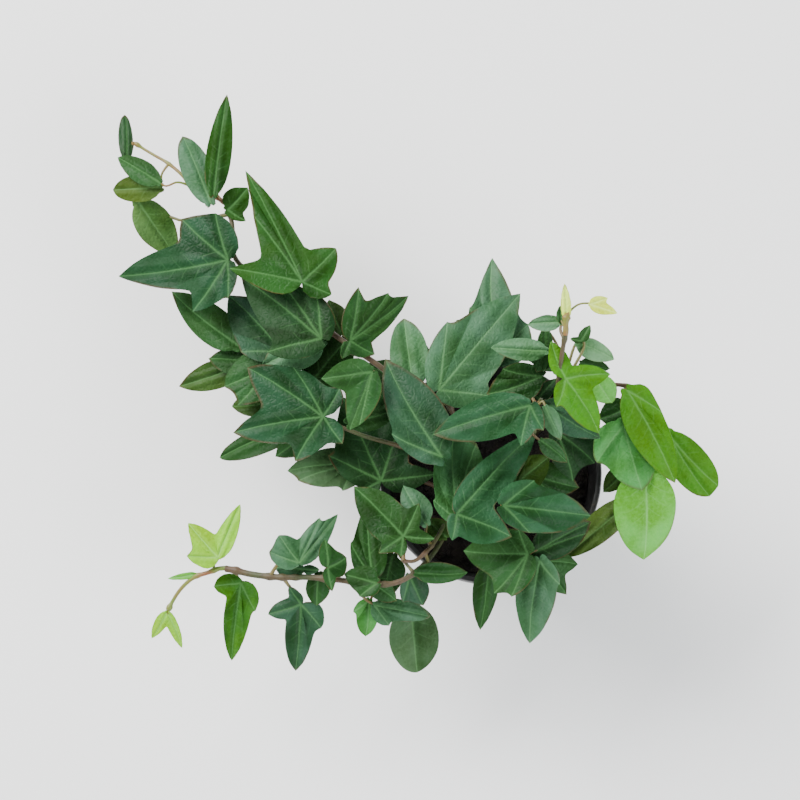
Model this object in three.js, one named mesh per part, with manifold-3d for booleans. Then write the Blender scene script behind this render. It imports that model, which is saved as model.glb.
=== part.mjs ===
// A trailing ivy in a plain round nursery pot.
// Millimetres, +Z up; the origin is the middle of the pot's flat bottom.
import * as THREE from 'three';
import { mergeVertices } from 'three/addons/utils/BufferGeometryUtils.js';
import Module from 'manifold-3d';

const wasm = await Module();
wasm.setup();

const potSize = {
  height: 90, rimRadius: 52, baseRadius: 36, wall: 1.6, floor: 2.4,
  bandHeight: 9, bandStep: 1.4, lip: 1.2, footHeight: 3, footStep: 1, sides: 36,
};
const drain = { count: 6, radius: 3.2, ring: 27, sides: 8 };
const soilSize = { top: 80, bottom: 3, gap: 0.4, crown: 2.5, clod: 1.1, rings: 3, sides: 18 };
const rootHole = { bottom: 71, clearance: 0.6, straight: 11, points: 5 };

// Stems and leaves are placed as an eye above the plant sees them: x across and y up a sheet that
// is square to the line of sight, and z the true height at which the point lies on its sight line.
const sight = { target: [-42, 29.5, 120], sheet: [-40.5, 32.4], distance: 800, elevation: 82 };

const blade = { thick: 0.8, fold: 0.12, curl: 0.1, blend: 6, heel: 0.18, sideWidth: 0.52, round: 0.2 };
const leastFlank = 0.6; // lobes closer than this angle share one bay point
const flankShares = [0.55, 1.5, 4]; // tangents, in lobe widths, of the directions of its edge points
const pointedPeak = 1.3; // makes a pointed lobe as wide as its width says
const stalk = { radius: 0.8, sides: 3, steps: 4, sink: 2.2, shortest: 7 };
const approaches = [[-3, 2.2], [4, 3.5]]; // how far along the blade and below it a stalk comes up
const stemSides = 5;
const clear = { leaf: 2, tube: 1.3, most: 4, rim: 3, carve: 0.45 };

// Each shoot: stem points [x, y, z], thickness at its root and its end, then its leaves:
// [stalk end, tip, width, height, drop to the tip, roll, side lobes, how round its lobes end]
// A side lobe is its tip's x and y, its width as a share of its length, and how round it ends.
const shoots = {
  back_left_runner: {
    stem: [[-17, 12, 72], [-23, 21, 96], [-37, 36, 106], [-49, 47, 108], [-62, 56, 107], [-76, 66, 104],
      [-90, 76, 99], [-104, 86, 95], [-115, 97, 92], [-116, 111, 90], [-118, 120, 89]],
    thick: [2.8, 2.2],
    leaves: [
      [[-67, 63], [-72.5, 77.5], 12, 88, 4, 0, []],
      [[-113.5, 57], [-143, 81], 17, 88, 8, 2, []],
      [[-158, 121.3], [-141.2, 97], 16.5, 82, 7, 3, [], 0.5],
      [[-93, 54], [-117.5, 79.5], 25, 97, 7, 0, [[-110, 54]]],
      [[-76, 60], [-111, 87], 26, 103, 8, 0, [[-90, 79.5, 0.5], [-78, 79.5, 0.7], [-100, 54]]],
      [[-76, 59], [-103, 47.5], 17, 101, 5, -2, [[-95, 58]]],
      [[-118, 95.3], [-167, 88], 20, 102, 9, 2,
        [[-138.8, 114, 0.75, 0.5], [-123, 114.5, 0.7, 0.6], [-133.5, 72.5, 0.6], [-118, 79.5, 0.5]]],
      [[-84.5, 85.5], [-110, 135.5], 14, 112, 10, 2,
        [[-104, 112, 0.55], [-69.5, 100.5, 0.75, 0.5], [-116.5, 91.5, 0.45], [-71.5, 80, 0.7, 0.5]], 0],
      [[-63, 59], [-37, 79], 12, 112, 7, 2,
        [[-46, 80.3, 0.45], [-59.3, 82.8, 0.42], [-52, 53, 0.8], [-66.5, 51, 0.6]]],
      [[-41, 41], [-56, 48], 14, 90, 5, 0, []],
      [[-118, 118], [-109, 128], 12, 92, 2, 0, [[-110, 113]]],
    ],
  },
  back_left_tip: {
    young: true,
    stem: [[-119, 120.9, 88.9], [-124, 124, 88], [-133, 126.5, 87], [-138.5, 133.5, 86], [-145, 139, 84],
      [-151, 142.5, 82.5], [-156, 145.5, 81.5], [-160.5, 148.5, 81]],
    thick: [1.9, 1.3],
    leaves: [
      [[-126, 121.5], [-138.2, 150.8], 14, 92, 3, -3, [], 0.7],
      [[-124.4, 125], [-118.2, 171], 11.5, 95, 8, 3, [], 0.3],
      [[-148.5, 128], [-169.5, 127], 12.5, 84, 4, -2, [], 0.7],
      [[-149, 130.5], [-167.5, 141.5], 10.5, 87, 3, 2, [], 0.5],
      [[-163.5, 140], [-164.4, 161], 6.5, 83, 4, 1, [], 0.8],
    ],
  },
  left_spray: {
    stem: [[-21, 2, 72], [-30, 7, 96], [-42, 12, 103], [-56, 16, 104], [-69, 21, 104], [-83, 26, 102],
      [-94, 33, 97], [-103, 40, 93]],
    thick: [2.6, 1.4],
    leaves: [
      [[-111, 48], [-140, 38.5], 13.5, 80, 6, -3, [], 0.3],
      [[-105, 49], [-127, 51], 13, 84, 5, 2, [], 0.3],
      [[-96, 31], [-116.5, 29.5], 11, 84, 5, 2, [], 0.5],
      [[-84, 22], [-123, 9.3], 9, 86, 9, 2, [[-122.3, 5, 0.2, 0.8], [-118, 1.5, 0.15, 0.8]], 0.4],
      [[-83, 17], [-96.5, 7], 12, 88, 6, 0, []],
      [[-97, 48], [-119.5, 38.5], 20, 93, 6, 2, [[-113, 30.5, 0.6]]],
      [[-80.6, 41.5], [-69.5, 58], 13, 96.5, 3, 0, []],
      [[-75, 25], [-116.3, 17.5], 17, 108, 9, 2,
        [[-108.5, 46.5, 0.6], [-86, 43, 0.7], [-67.5, 38, 0.8], [-87.5, 5, 0.6], [-66.5, 13, 0.8]], 0.35],
    ],
  },
  left_front_spray: {
    stem: [[-19, -9, 72], [-28, -5, 88], [-40, -1, 92.3], [-50, 4, 92.6], [-58, 13, 91.5], [-61, 25, 95],
      [-57, 37, 101]],
    thick: [2.4, 1.4],
    leaves: [
      [[-60, 4], [-91, 0.5], 16, 92, 7, 0, [[-84, -3.3], [-66, -8, 0.8]]],
      [[-56, 1], [-74, 4], 16, 84, 8, 0, []],
      [[-49, -4], [-62, 27], 22, 98, 5, 0, [[-72, 7], [-39, 27], [-25, -1], [-58, -8.5]]],
      [[-63, 22], [-36, 38], 17, 108, 4, 0, [[-47, 27]]],
      [[-53, 45], [-63, 19], 15, 116, 5, 0, [[-75.5, 42, 0.65], [-56, 32]]],
    ],
  },
  centre_back_spray: {
    stem: [[-7, 12, 72], [-12, 20, 98], [-17, 27, 112], [-20, 35, 118]],
    thick: [2.8, 2.0],
    leaves: [
      [[3.5, 50], [1, 95.5], 21, 104, 9, 0, [[17, 66, 0.8, 0.6], [-8, 71.5, 0.6]], 0],
      [[-5, 57], [-15, 68], 16, 93, 8, 0, []],
      [[7.4, 56.4], [5, 77], 13, 93.5, 14, 0, []],
      [[-30, 47], [-40, 61], 14, 94, 5, 0, []],
      [[-34.6, 38], [-38.8, 69], 17.5, 112, 5, 0, [], 0.7],
      [[-23, 37], [13, 79.5], 29, 116, 8, -1, [[-19.5, 65.5, 0.5], [3, 34]]],
      [[-22, 7], [-47.5, 51.5], 25, 122, 6, 0, [[-42, 16]]],
    ],
  },
  centre_spray: {
    stem: [[3, -1, 72], [1, 1, 100], [-1, 3, 120]],
    thick: [2.8, 2.0],
    leaves: [
      [[19, -1], [40, -7], 15, 100, 6, 0, [[30, -12]]],
      [[11, -6], [27, 7], 15, 108, 3, 0, [[14, 7]]],
      [[-15, -21], [-16, 21], 20, 112, 5, 0, [[-6.5, 11, 0.5], [-25, -13]], 0.5],
      [[-15, -19], [20.5, 18], 18, 122, 4, 0, [[9.5, -29, 0.7], [-17, -30.5, 0.6]]],
      [[6, -15], [45.5, -19.8], 21, 128, 8, 2, [[16, -25.5, 0.6], [19, -4.5, 0.7]], 0.4],
    ],
  },
  centre_right_spray: {
    stem: [[10, 4, 72], [14, 12, 100], [18, 19, 122], [21, 26, 132], [23, 33, 138]],
    thick: [2.4, 1.5],
    leaves: [
      [[30, 18], [47, 4], 21, 104, 6, 0, [[51, 14], [37, -3]]],
      [[22, 33], [10, 45], 15, 116, 3, 0, [[30, 42]]],
      [[30, 46], [25, 57], 12, 94, 5, 0, []],
      [[25, 30], [50, 15], 14, 120, 5, 0, [[40, 29]]],
      [[23, 14], [35, 4], 8, 122, 6, 0, []],
      [[25, 29], [32, 14], 8, 128, 5, 0, []],
      [[23, 43], [-2, 35], 17, 122, 4, 0, [[8, 46]]],
      [[18, 30], [-25, 17], 20, 128, 8, 0, [[14, 12], [24, 19]], 0.35],
    ],
  },
  back_right_shoot: {
    stem: [[17, 14, 72], [25, 22, 104], [30, 31, 126], [31, 40, 140], [32, 50, 148], [33, 57, 152],
      [34, 62, 155]],
    thick: [2.3, 2.1],
    leaves: [
      [[38, 41], [50, 35], 12, 92, 5, 0, []],
      [[41, 49], [54, 46.5], 7, 120, 3, 0, []],
      [[39.5, 58], [56, 50.5], 9.5, 128, 4, 0, [], 0.4],
      [[41, 59], [45, 66], 5, 131, 0, 0, [[36, 60]]],
      [[26, 54], [21, 45], 9, 126, 4, 0, [[18, 50]]],
      [[25, 64], [24, 45], 7, 134, 6, 0, []],
      [[25, 54.5], [0.5, 56], 10.5, 138, 4, 0, [], 0.3],
      [[31.5, 67.3], [17.2, 66.5], 7.5, 148, 3, 0, [], 0.5],
      [[48, 42], [55, 31], 12, 136, 4, 0, [], 0.5],
      [[34, 42], [49, 17.5], 15, 146, 6, 0, [[54, 44, 0.55], [30, 29.5], [27.5, 59]]],
    ],
  },
  back_right_tip: {
    young: true,
    stem: [[34.1, 63, 155.6], [34.3, 69, 157], [35.5, 72, 158]],
    thick: [2, 1.4],
    leaves: [
      [[32, 67], [31.5, 75], 4, 154, -1, 0, []],
      [[34.5, 69], [33.6, 85], 4.6, 157, -2, 0, []],
      [[45, 75.5], [53, 78.3], 5, 157, 2, 0, [[57, 71.5, 0.45]]],
    ],
  },
  right_spray: {
    stem: [[22, 1, 72], [31, 12, 96], [40, 26, 110], [50, 38, 116], [60, 39, 116], [72, 34, 112],
      [78, 23, 106], [80, 14, 101]],
    thick: [2.4, 1.4],
    leaves: [
      [[63, -13], [33.3, -38.6], 13.5, 93.9, 2, 1, [], 0.5],
      [[70, 1], [69.2, -40], 28, 94, 12, 0, [], 0.45],
      [[62, 29], [49, 24], 13, 98, 4, 0, [], 0.3],
      [[62, 2], [51, -9], 10, 88, 5, 0, [], 0.3],
      [[80, 17], [98.5, -10.6], 16.5, 98, 9, 0, [[101, -4.5, 0.4]], 0.8],
      [[60, 21], [68.5, -8.5], 22, 106, 8, 0, [[48, 4.5, 0.75]], 0.6],
      [[62, 36.5], [83, -4.5], 18, 112, 11, 0, [[74.5, 28.5, 0.8]], 0.4],
    ],
  },
  front_right_spray: {
    stem: [[8, -10, 72], [12, -21, 94], [15, -31, 103], [17, -38, 106]],
    thick: [2.4, 1.6],
    leaves: [
      [[-0.6, -42], [-4.4, -71], 11.5, 96, 12, 0, []],
      [[20, -36], [46, -22], 16, 98, 3, 0, [[34, -31]]],
      [[22, -40], [34.3, -55], 11, 97, 6, 0, [[39.3, -41.5, 0.7]]],
      [[22.5, -40], [17.9, -76.3], 18.5, 100, 12, 0, [[31, -50, 0.5]], 0.35],
      [[17, -37], [-12, -35.5], 22, 107, 5, 0, [[2, -54.5, 0.6], [13, -26], [10, -55, 0.6]]],
    ],
  },
  front_left_spray: {
    stem: [[-13, -13, 72], [-20, -23, 95], [-27, -34, 105], [-34, -40, 109], [-39, -40, 111]],
    thick: [2.4, 1.5],
    leaves: [
      [[-20, -29], [-29, -21], 10, 98, 3, 0, []],
      [[-29, -23], [-39, -6], 13, 98, 4, 0, []],
      [[-33, -45.5], [-10, -45.2], 10, 101, 5, 0, [], 0.3],
      [[-39, -29], [-61.3, -6.5], 19, 110, 5, 0, [[-25, -30], [-50, -36.5], [-40, -38, 0.8], [-32, -14]]],
    ],
  },
  front_left_runner: {
    stem: [[-16, -19, 72], [-23, -33, 93], [-32, -44, 100], [-43, -50, 101], [-56, -50, 100],
      [-69, -48.5, 98], [-83, -47.3, 95], [-96, -47.3, 92], [-108, -45.9, 89.3], [-115, -44.2, 87.8],
      [-119, -43.5, 87]],
    thick: [2.8, 3.8],
    leaves: [
      [[-35.5, -60], [-32.8, -90], 22.3, 74, 10, 0, [], 0.9],
      [[-44, -38], [-47, -57], 14, 80, 9, 0, []],
      [[-53, -48], [-55, -14], 15, 92, 5, -3, [[-62, -33]]],
      [[-52, -50], [-65, -42], 12, 84, 5, 0, [[-58, -55.5, 0.8]]],
      [[-52, -60], [-27, -65], 10, 88, 4, 0, [[-45.5, -69, 0.7]], 0.5],
      [[-36, -47], [-30, -60], 12, 94, 6, 0, [[-39, -58]], 0.4],
      [[-54.6, -58], [-56, -74], 10, 84, 6, 0, [[-61.4, -62.8]], 0.5],
      [[-53, -50], [-42, -58], 10, 92, 3, 0, []],
      [[-73, -43], [-65, -38], 13, 96, 4, 0, [[-74, -30], [-72, -53]]],
      [[-77, -46], [-78, -60], 11, 90, 4, 0, [], 0.5],
      [[-85, -59.5], [-87.5, -90], 12.5, 86, 9, 0,
        [[-100, -64, 0.55], [-76, -70, 0.9, 0.7], [-90.5, -51.7]], 0.5],
      [[-112, -50], [-116.3, -85], 12, 80, 9, 0, [[-124.3, -51.5, 0.8, 0.6], [-105.8, -62, 0.75, 0.5]], 0.4],
      [[-86, -41], [-68.5, -19], 10, 98, 4, 0,
        [[-77, -21.5, 0.4], [-95, -28.5, 0.7, 0.6], [-99.3, -36, 0.7, 0.6]], 0],
      [[-84, -44], [-97, -43], 9, 94, 3, 0, [[-77, -44, 0.6]], 0.5],
    ],
  },
  front_left_tip: {
    young: true,
    stem: [[-119.9, -43.3, 86.85], [-122, -43.5, 86.5], [-127, -45.3, 86], [-133, -47.3, 84.5],
      [-139, -52.5, 82], [-143, -58.5, 80], [-145.2, -63, 79]],
    thick: [2.2, 1.7],
    leaves: [
      [[-145.3, -63], [-138.7, -79], 5, 79, 5, 0, [[-152.2, -74.8, 0.42]]],
      [[-132, -46], [-145, -48], 3, 85, 2, 0, []],
      [[-122.5, -38.5], [-112.3, -14.2], 8.8, 90, 2, 0, [[-136, -22.8], [-136.3, -37.8, 0.75]]],
    ],
  },
};

const degree = Math.PI / 180;
const eyeSin = Math.sin(sight.elevation * degree);
const eyeCos = Math.cos(sight.elevation * degree);
const eye = new THREE.Vector3(...sight.target).add(
  new THREE.Vector3(0, -eyeCos, eyeSin).multiplyScalar(sight.distance));

// The real place of a point seen at x, y on the sheet, at the height z.
function place([x, y, z]) {
  const seen = new THREE.Vector3(...sight.target);
  seen.x += x - sight.sheet[0];
  seen.y += (y - sight.sheet[1]) * eyeSin;
  seen.z += (y - sight.sheet[1]) * eyeCos;
  return eye.clone().lerp(seen, (eye.z - z) / (eye.z - seen.z));
}

function turnBetween(a, b) {
  return Math.atan2(Math.sin(b - a), Math.cos(b - a));
}

// One leaf: lobes that all start where the stalk meets the blade.
function makeLeaf([joint, tip, width, height, drop, roll, sideLobes, round = blade.round]) {
  const lobeTo = (x, y) => ({
    angle: Math.atan2(y - joint[1], x - joint[0]), length: Math.hypot(x - joint[0], y - joint[1]), round,
  });
  const main = lobeTo(...tip);
  main.slim = width / main.length;
  const lobes = [main];
  for (const [x, y, slim = blade.sideWidth, sideRound = round] of sideLobes) {
    const lobe = lobeTo(x, y);
    lobe.angle = main.angle + turnBetween(main.angle, lobe.angle);
    lobes.push({ ...lobe, slim, round: sideRound });
  }
  const longest = Math.max(...lobes.map((lobe) => lobe.length)) * 1.05;
  return { joint, heading: main.angle, length: main.length, longest, lobes, width, height, drop, roll };
}

// A lobe's edge seen from the joint: straight sides to a point, widest a third of the way out,
// or an oval. Both are solved for the share of the lobe's length that lies in that direction.
function lobeReach(lobe, off) {
  if (off > 1.5) return 0;
  const slope = Math.tan(off) / (lobe.slim * pointedPeak);
  const pointed = ((Math.sqrt(slope * slope + 4) - slope) / 2) ** 2;
  const oval = 1 / (1 + (Math.tan(off) / lobe.slim) ** 2);
  return lobe.length * (pointed * (1 - lobe.round) + oval * lobe.round) / Math.cos(off);
}

// How far the blade reaches from its joint in one direction.
function reach(leaf, angle) {
  let sum = (leaf.width * blade.heel) ** blade.blend;
  for (const lobe of leaf.lobes) {
    sum += lobeReach(lobe, Math.abs(turnBetween(lobe.angle, angle))) ** blade.blend;
  }
  return sum ** (1 / blade.blend);
}

// The height of the middle of the blade over a point of the sheet.
function bladeHeight(leaf, x, y) {
  const dx = x - leaf.joint[0];
  const dy = y - leaf.joint[1];
  const along = dx * Math.cos(leaf.heading) + dy * Math.sin(leaf.heading);
  const across = dy * Math.cos(leaf.heading) - dx * Math.sin(leaf.heading);
  return leaf.height - leaf.drop * along / leaf.length + 2 * leaf.roll * across / leaf.length
    + blade.fold * Math.abs(across) - blade.curl * Math.hypot(dx, dy);
}

function covers(leaf, x, y, margin = 0) {
  const dx = x - leaf.joint[0];
  const dy = y - leaf.joint[1];
  const distance = Math.hypot(dx, dy);
  return distance < leaf.longest + margin && distance < reach(leaf, Math.atan2(dy, dx)) + margin;
}

// The directions in which the outline has a point: each lobe's tip, flanks and the bays between.
function rays(leaf) {
  const lobes = [...leaf.lobes].sort((a, b) => a.angle - b.angle);
  const first = lobes[0];
  const last = lobes.at(-1);
  const flanks = (lobe) => flankShares.map((share) => Math.atan(lobe.slim * share));
  const angles = [...flanks(first).reverse().map((turn) => first.angle - turn)];
  lobes.forEach((lobe, i) => {
    angles.push(lobe.angle);
    if (lobe === last) return;
    const apart = lobes[i + 1].angle - lobe.angle;
    const bay = apart * lobe.slim / (lobe.slim + lobes[i + 1].slim);
    if (apart > leastFlank) angles.push(lobe.angle + bay * 0.45);
    angles.push(lobe.angle + bay);
    if (apart > leastFlank) angles.push(lobe.angle + apart - (apart - bay) * 0.45);
  });
  angles.push(...flanks(last).map((turn) => last.angle + turn));
  const back = (angles[0] + 2 * Math.PI - angles.at(-1)) / 3;
  angles.push(angles.at(-1) + back, angles.at(-1) + 2 * back);
  return angles;
}

function gridOf(leaf) {
  const points = [leaf.joint];
  const steps = 24;
  for (let i = 0; i < steps; i += 1) {
    const angle = leaf.heading + i * 2 * Math.PI / steps;
    const far = reach(leaf, angle);
    for (const share of [0.35, 0.7, 1]) {
      points.push([leaf.joint[0] + far * share * Math.cos(angle), leaf.joint[1] + far * share * Math.sin(angle)]);
    }
  }
  return points;
}

function rimHeight(x, y) {
  return Math.hypot(x, y) < potSize.rimRadius + clear.rim ? potSize.height + clear.rim : 0;
}

// Points along a smooth curve through the given ones, with the tube's radius at each.
function tubePath(points, steps, startRadius, endRadius) {
  const curve = new THREE.CatmullRomCurve3(points.map((p) => new THREE.Vector3(...p)), false, 'centripetal');
  return Array.from({ length: steps + 1 }, (_, i) => {
    const p = curve.getPoint(i / steps);
    return { at: [p.x, p.y, p.z], radius: startRadius + (endRadius - startRadius) * i / steps };
  });
}

function gapTo(path, [x, y, z]) {
  let least = Infinity;
  for (const point of path) {
    least = Math.min(least, Math.hypot(point.at[0] - x, point.at[1] - y, point.at[2] - z) - point.radius);
  }
  return least;
}

// How far a leaf must rise to lie clear above what it is over.
function liftOver(leaf, others, tubes) {
  let lift = 0;
  const grid = gridOf(leaf);
  for (const [x, y] of grid) {
    lift = Math.max(lift, rimHeight(x, y) - bladeHeight(leaf, x, y));
  }
  for (const other of others) {
    const apart = Math.hypot(leaf.joint[0] - other.joint[0], leaf.joint[1] - other.joint[1]);
    if (apart > leaf.longest + other.longest + 2) continue;
    for (const [x, y] of [...grid, ...gridOf(other)]) {
      if (covers(leaf, x, y, 1) && covers(other, x, y, 1)) {
        lift = Math.max(lift, bladeHeight(other, x, y) + clear.leaf - bladeHeight(leaf, x, y));
      }
    }
  }
  for (const path of tubes) {
    for (const { at: [x, y, z], radius } of path) {
      const room = radius + clear.tube;
      if (!covers(leaf, x, y, 1)) continue;
      const above = z + room - bladeHeight(leaf, x, y);
      const inTheWay = bladeHeight(leaf, x, y) + lift > z - room;
      if (inTheWay && above < lift + clear.most) lift = Math.max(lift, above);
    }
  }
  return lift;
}

// The stalk from a stem to a leaf: of a few ways round, the one that stays clearest of the rest.
function routeStalk(leaf, stem, leaves, tubes) {
  const [jx, jy] = leaf.joint;
  const end = [jx + stalk.sink * Math.cos(leaf.heading), jy + stalk.sink * Math.sin(leaf.heading)];
  const endPoint = [...end, bladeHeight(leaf, ...end) - blade.thick / 4];
  let best = null;
  for (const [along, below] of approaches) {
    if (best && best.crowded < 9) break;
    const near = [jx + along * Math.cos(leaf.heading), jy + along * Math.sin(leaf.heading), leaf.height - below];
    for (const from of stem.filter((point) => !point.taken)) {
      for (const via of waysRound(from.at, near)) {
        if (along > 0 && via.length && turnsBack(via[0], near, endPoint)) continue;
        const path = tubePath([from.at, ...via, endPoint], stalk.steps * 2, stalk.radius * 1.3, stalk.radius);
        const span = Math.hypot(from.at[0] - jx, from.at[1] - jy, (from.at[2] - leaf.height) * 1.5);
        const crowded = crowding(path, leaf, leaves, tubes);
        const cost = span * 0.35 + crowded;
        if (!best || cost < best.cost) best = { cost, crowded, path, from };
      }
    }
  }
  best.from.taken = true;
  return best.path;
}

// A stalk from close by is straight; a longer one comes up near the joint, bent one way or other.
function waysRound([x, y, z], near) {
  const away = Math.hypot(x - near[0], y - near[1], z - near[2]);
  if (away < stalk.shortest) return [[]];
  const ways = [];
  for (const side of [0, -0.12, 0.12]) {
    for (const rise of [0.5, 0.8, 0.2]) {
      const middle = [
        (x + near[0]) / 2 + side * (near[1] - y),
        (y + near[1]) / 2 - side * (near[0] - x),
        z + (near[2] - z) * rise,
      ];
      ways.push([middle, near]);
    }
  }
  return ways;
}

function turnsBack(a, b, c) {
  const come = [b[0] - a[0], b[1] - a[1], b[2] - a[2]];
  const go = [c[0] - b[0], c[1] - b[1], c[2] - b[2]];
  const along = come[0] * go[0] + come[1] * go[1] + come[2] * go[2];
  return along < -0.2 * Math.hypot(...come) * Math.hypot(...go);
}

function crowding(path, own, leaves, tubes) {
  let cost = 0;
  for (const { at: [x, y, z], radius } of path) {
    if (z < rimHeight(x, y)) cost += Math.hypot(x, y) < potSize.rimRadius - 6 ? 0 : 200;
    for (const leaf of leaves) {
      if (leaf !== own && covers(leaf, x, y, 1) && Math.abs(bladeHeight(leaf, x, y) - z) < radius + 1.2) cost += 9;
    }
    for (const tube of tubes) {
      if (gapTo(tube, [x, y, z]) < radius + 0.9) cost += 60;
    }
  }
  return cost;
}

// Every stem first, then each leaf from the lowest up, with its stalk.
function grow() {
  const plants = Object.entries(shoots).map(([name, shoot]) => {
    const [root, ...rest] = shoot.stem;
    const start = shoot.young ? [root] : [root, [root[0], root[1], root[2] + rootHole.straight]];
    const [thickStart, thickEnd] = shoot.thick;
    const points = [...start, ...rest];
    return {
      name, young: Boolean(shoot.young), root, leaves: shoot.leaves.map(makeLeaf), stalks: [],
      stem: tubePath(points, points.length * 4, thickStart / 2, thickEnd / 2),
    };
  });
  const order = plants.flatMap((plant) => plant.leaves.map((leaf) => ({ plant, leaf })));
  order.sort((a, b) => a.leaf.height - b.leaf.height);
  const placed = [];
  for (const { plant, leaf } of order) {
    const foreign = plants.filter((each) => each !== plant).flatMap((each) => [each.stem, ...each.stalks]);
    leaf.height += liftOver(leaf, placed, foreign);
    placed.push(leaf);
    plant.stalks.push(routeStalk(leaf, plant.stem, placed, foreign));
  }
  return plants;
}

function solidFrom(vertices, triangles) {
  return new wasm.Manifold(new wasm.Mesh({
    numProp: 3, vertProperties: new Float32Array(vertices), triVerts: new Uint32Array(triangles),
  }));
}

function solidOf(geometry) {
  const bare = geometry.clone();
  bare.deleteAttribute('normal');
  bare.deleteAttribute('uv');
  const merged = mergeVertices(bare, 1e-4);
  return solidFrom(merged.attributes.position.array, merged.index.array);
}

// A blade of even thickness, split into triangles alike on both faces.
function leafSolid(leaf) {
  const angles = rays(leaf);
  const sheet = [leaf.joint];
  for (const angle of angles) {
    const far = reach(leaf, angle);
    sheet.push([leaf.joint[0] + far * Math.cos(angle), leaf.joint[1] + far * Math.sin(angle)]);
  }
  const vertices = [];
  for (const side of [0.5, -0.5]) {
    for (const [x, y] of sheet) {
      vertices.push(...place([x, y, bladeHeight(leaf, x, y) + side * blade.thick]).toArray());
    }
  }
  const count = angles.length;
  const below = sheet.length;
  const triangles = [];
  for (let i = 1; i <= count; i += 1) {
    const j = i % count + 1;
    triangles.push(0, i, j, below, below + j, below + i);
    triangles.push(i, below + i, below + j, i, below + j, j);
  }
  return solidFrom(vertices, triangles);
}

// A tapered tube with flat ends along a path on the sheet.
function tubeSolid(path, sides, extra = 0) {
  const centres = path.map((point) => place(point.at));
  const vertices = [];
  let across = null;
  centres.forEach((centre, i) => {
    const ahead = centres[Math.min(i + 1, centres.length - 1)].clone()
      .sub(centres[Math.max(i - 1, 0)]).normalize();
    across = across ?? new THREE.Vector3(0.3, 1, 0.2);
    across = across.clone().addScaledVector(ahead, -across.dot(ahead)).normalize();
    const other = ahead.clone().cross(across);
    for (let k = 0; k < sides; k += 1) {
      const turn = k * 2 * Math.PI / sides;
      const radius = path[i].radius + extra;
      vertices.push(...centre.clone().addScaledVector(across, radius * Math.cos(turn))
        .addScaledVector(other, radius * Math.sin(turn)).toArray());
    }
  });
  const triangles = [];
  for (let i = 0; i + 1 < centres.length; i += 1) {
    for (let k = 0; k < sides; k += 1) {
      const a = i * sides + k;
      const b = i * sides + (k + 1) % sides;
      triangles.push(a, b, b + sides, a, b + sides, a + sides);
    }
  }
  const last = (centres.length - 1) * sides;
  for (let k = 1; k + 1 < sides; k += 1) {
    triangles.push(0, k + 1, k, last, last + k, last + k + 1);
  }
  return solidFrom(vertices, triangles);
}

function thinned(path, step) {
  return path.filter((_, i) => i % step === 0 || i === path.length - 1);
}

function stemLine(plant) {
  return thinned(plant.stem, 4);
}

// True where a tube runs through a blade, or nearly.
function crosses(path, leaf) {
  return path.some(({ at: [x, y, z], radius }) => covers(leaf, x, y, 1.5)
    && Math.abs(bladeHeight(leaf, x, y) - z) < radius + blade.thick + 0.8);
}

// A shoot in one piece; its blades are notched where another shoot's stem or stalk passes.
function plantSolid(plant, plants) {
  const foreign = plants.filter((each) => each !== plant).flatMap((each) => [
    ...each.stalks.map((path) => ({ path, line: thinned(path, 2), sides: stalk.sides })),
    { path: each.stem, line: stemLine(each), sides: stemSides }]);
  const pieces = [tubeSolid(stemLine(plant), stemSides)];
  for (const path of plant.stalks) pieces.push(tubeSolid(thinned(path, 2), stalk.sides));
  for (const leaf of plant.leaves) {
    let solid = leafSolid(leaf);
    for (const { path, line, sides } of foreign) {
      if (crosses(path, leaf)) solid = solid.subtract(tubeSolid(line, sides, clear.carve));
    }
    pieces.push(largest(solid));
  }
  return largest(largest(wasm.Manifold.union(pieces)).simplify(0.08));
}

function largest(solid) {
  return solid.decompose().sort((a, b) => b.volume() - a.volume())[0];
}

function lathe(profile, sides) {
  const points = profile.map(([radius, height]) => new THREE.Vector2(radius, height));
  return solidOf(new THREE.LatheGeometry(points, sides).rotateX(Math.PI / 2));
}

function upright(radius, bottom, top, x, y, sides) {
  const geometry = new THREE.CylinderGeometry(radius, radius, top - bottom, sides);
  return solidOf(geometry.rotateX(Math.PI / 2).translate(x, y, (top + bottom) / 2));
}

// The pot's outside radius at a height, below its rim band.
function bodyRadius(height) {
  return potSize.baseRadius + (potSize.rimRadius - potSize.bandStep - potSize.baseRadius)
    * height / potSize.height;
}

function potSolid() {
  const { height, rimRadius, baseRadius, wall, floor, bandHeight, lip, footHeight, footStep, sides } = potSize;
  const bandFoot = height - bandHeight;
  const inner = (z) => bodyRadius(z) - wall;
  const body = lathe([
    [0, 0], [baseRadius - footStep, 0], [baseRadius, footStep], [bodyRadius(footHeight), footHeight],
    [bodyRadius(bandFoot), bandFoot], [rimRadius - 0.4, bandFoot + 0.8], [rimRadius, bandFoot + 2],
    [rimRadius, height - lip], [rimRadius - lip / 2, height], [inner(height) + lip / 2, height],
    [inner(height), height - lip], [inner(floor), floor], [0, floor],
  ], sides);
  const holes = Array.from({ length: drain.count }, (_, i) => {
    const turn = i * 2 * Math.PI / drain.count;
    return upright(drain.radius, -1, floor + 1, drain.ring * Math.cos(turn), drain.ring * Math.sin(turn), drain.sides);
  });
  return body.subtract(wasm.Manifold.union(holes));
}

// Seeded, so that the soil is the same each time.
function makeRandom(seed) {
  let state = seed;
  return () => {
    state = (state * 1664525 + 1013904223) % 4294967296;
    return state / 4294967296;
  };
}

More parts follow.
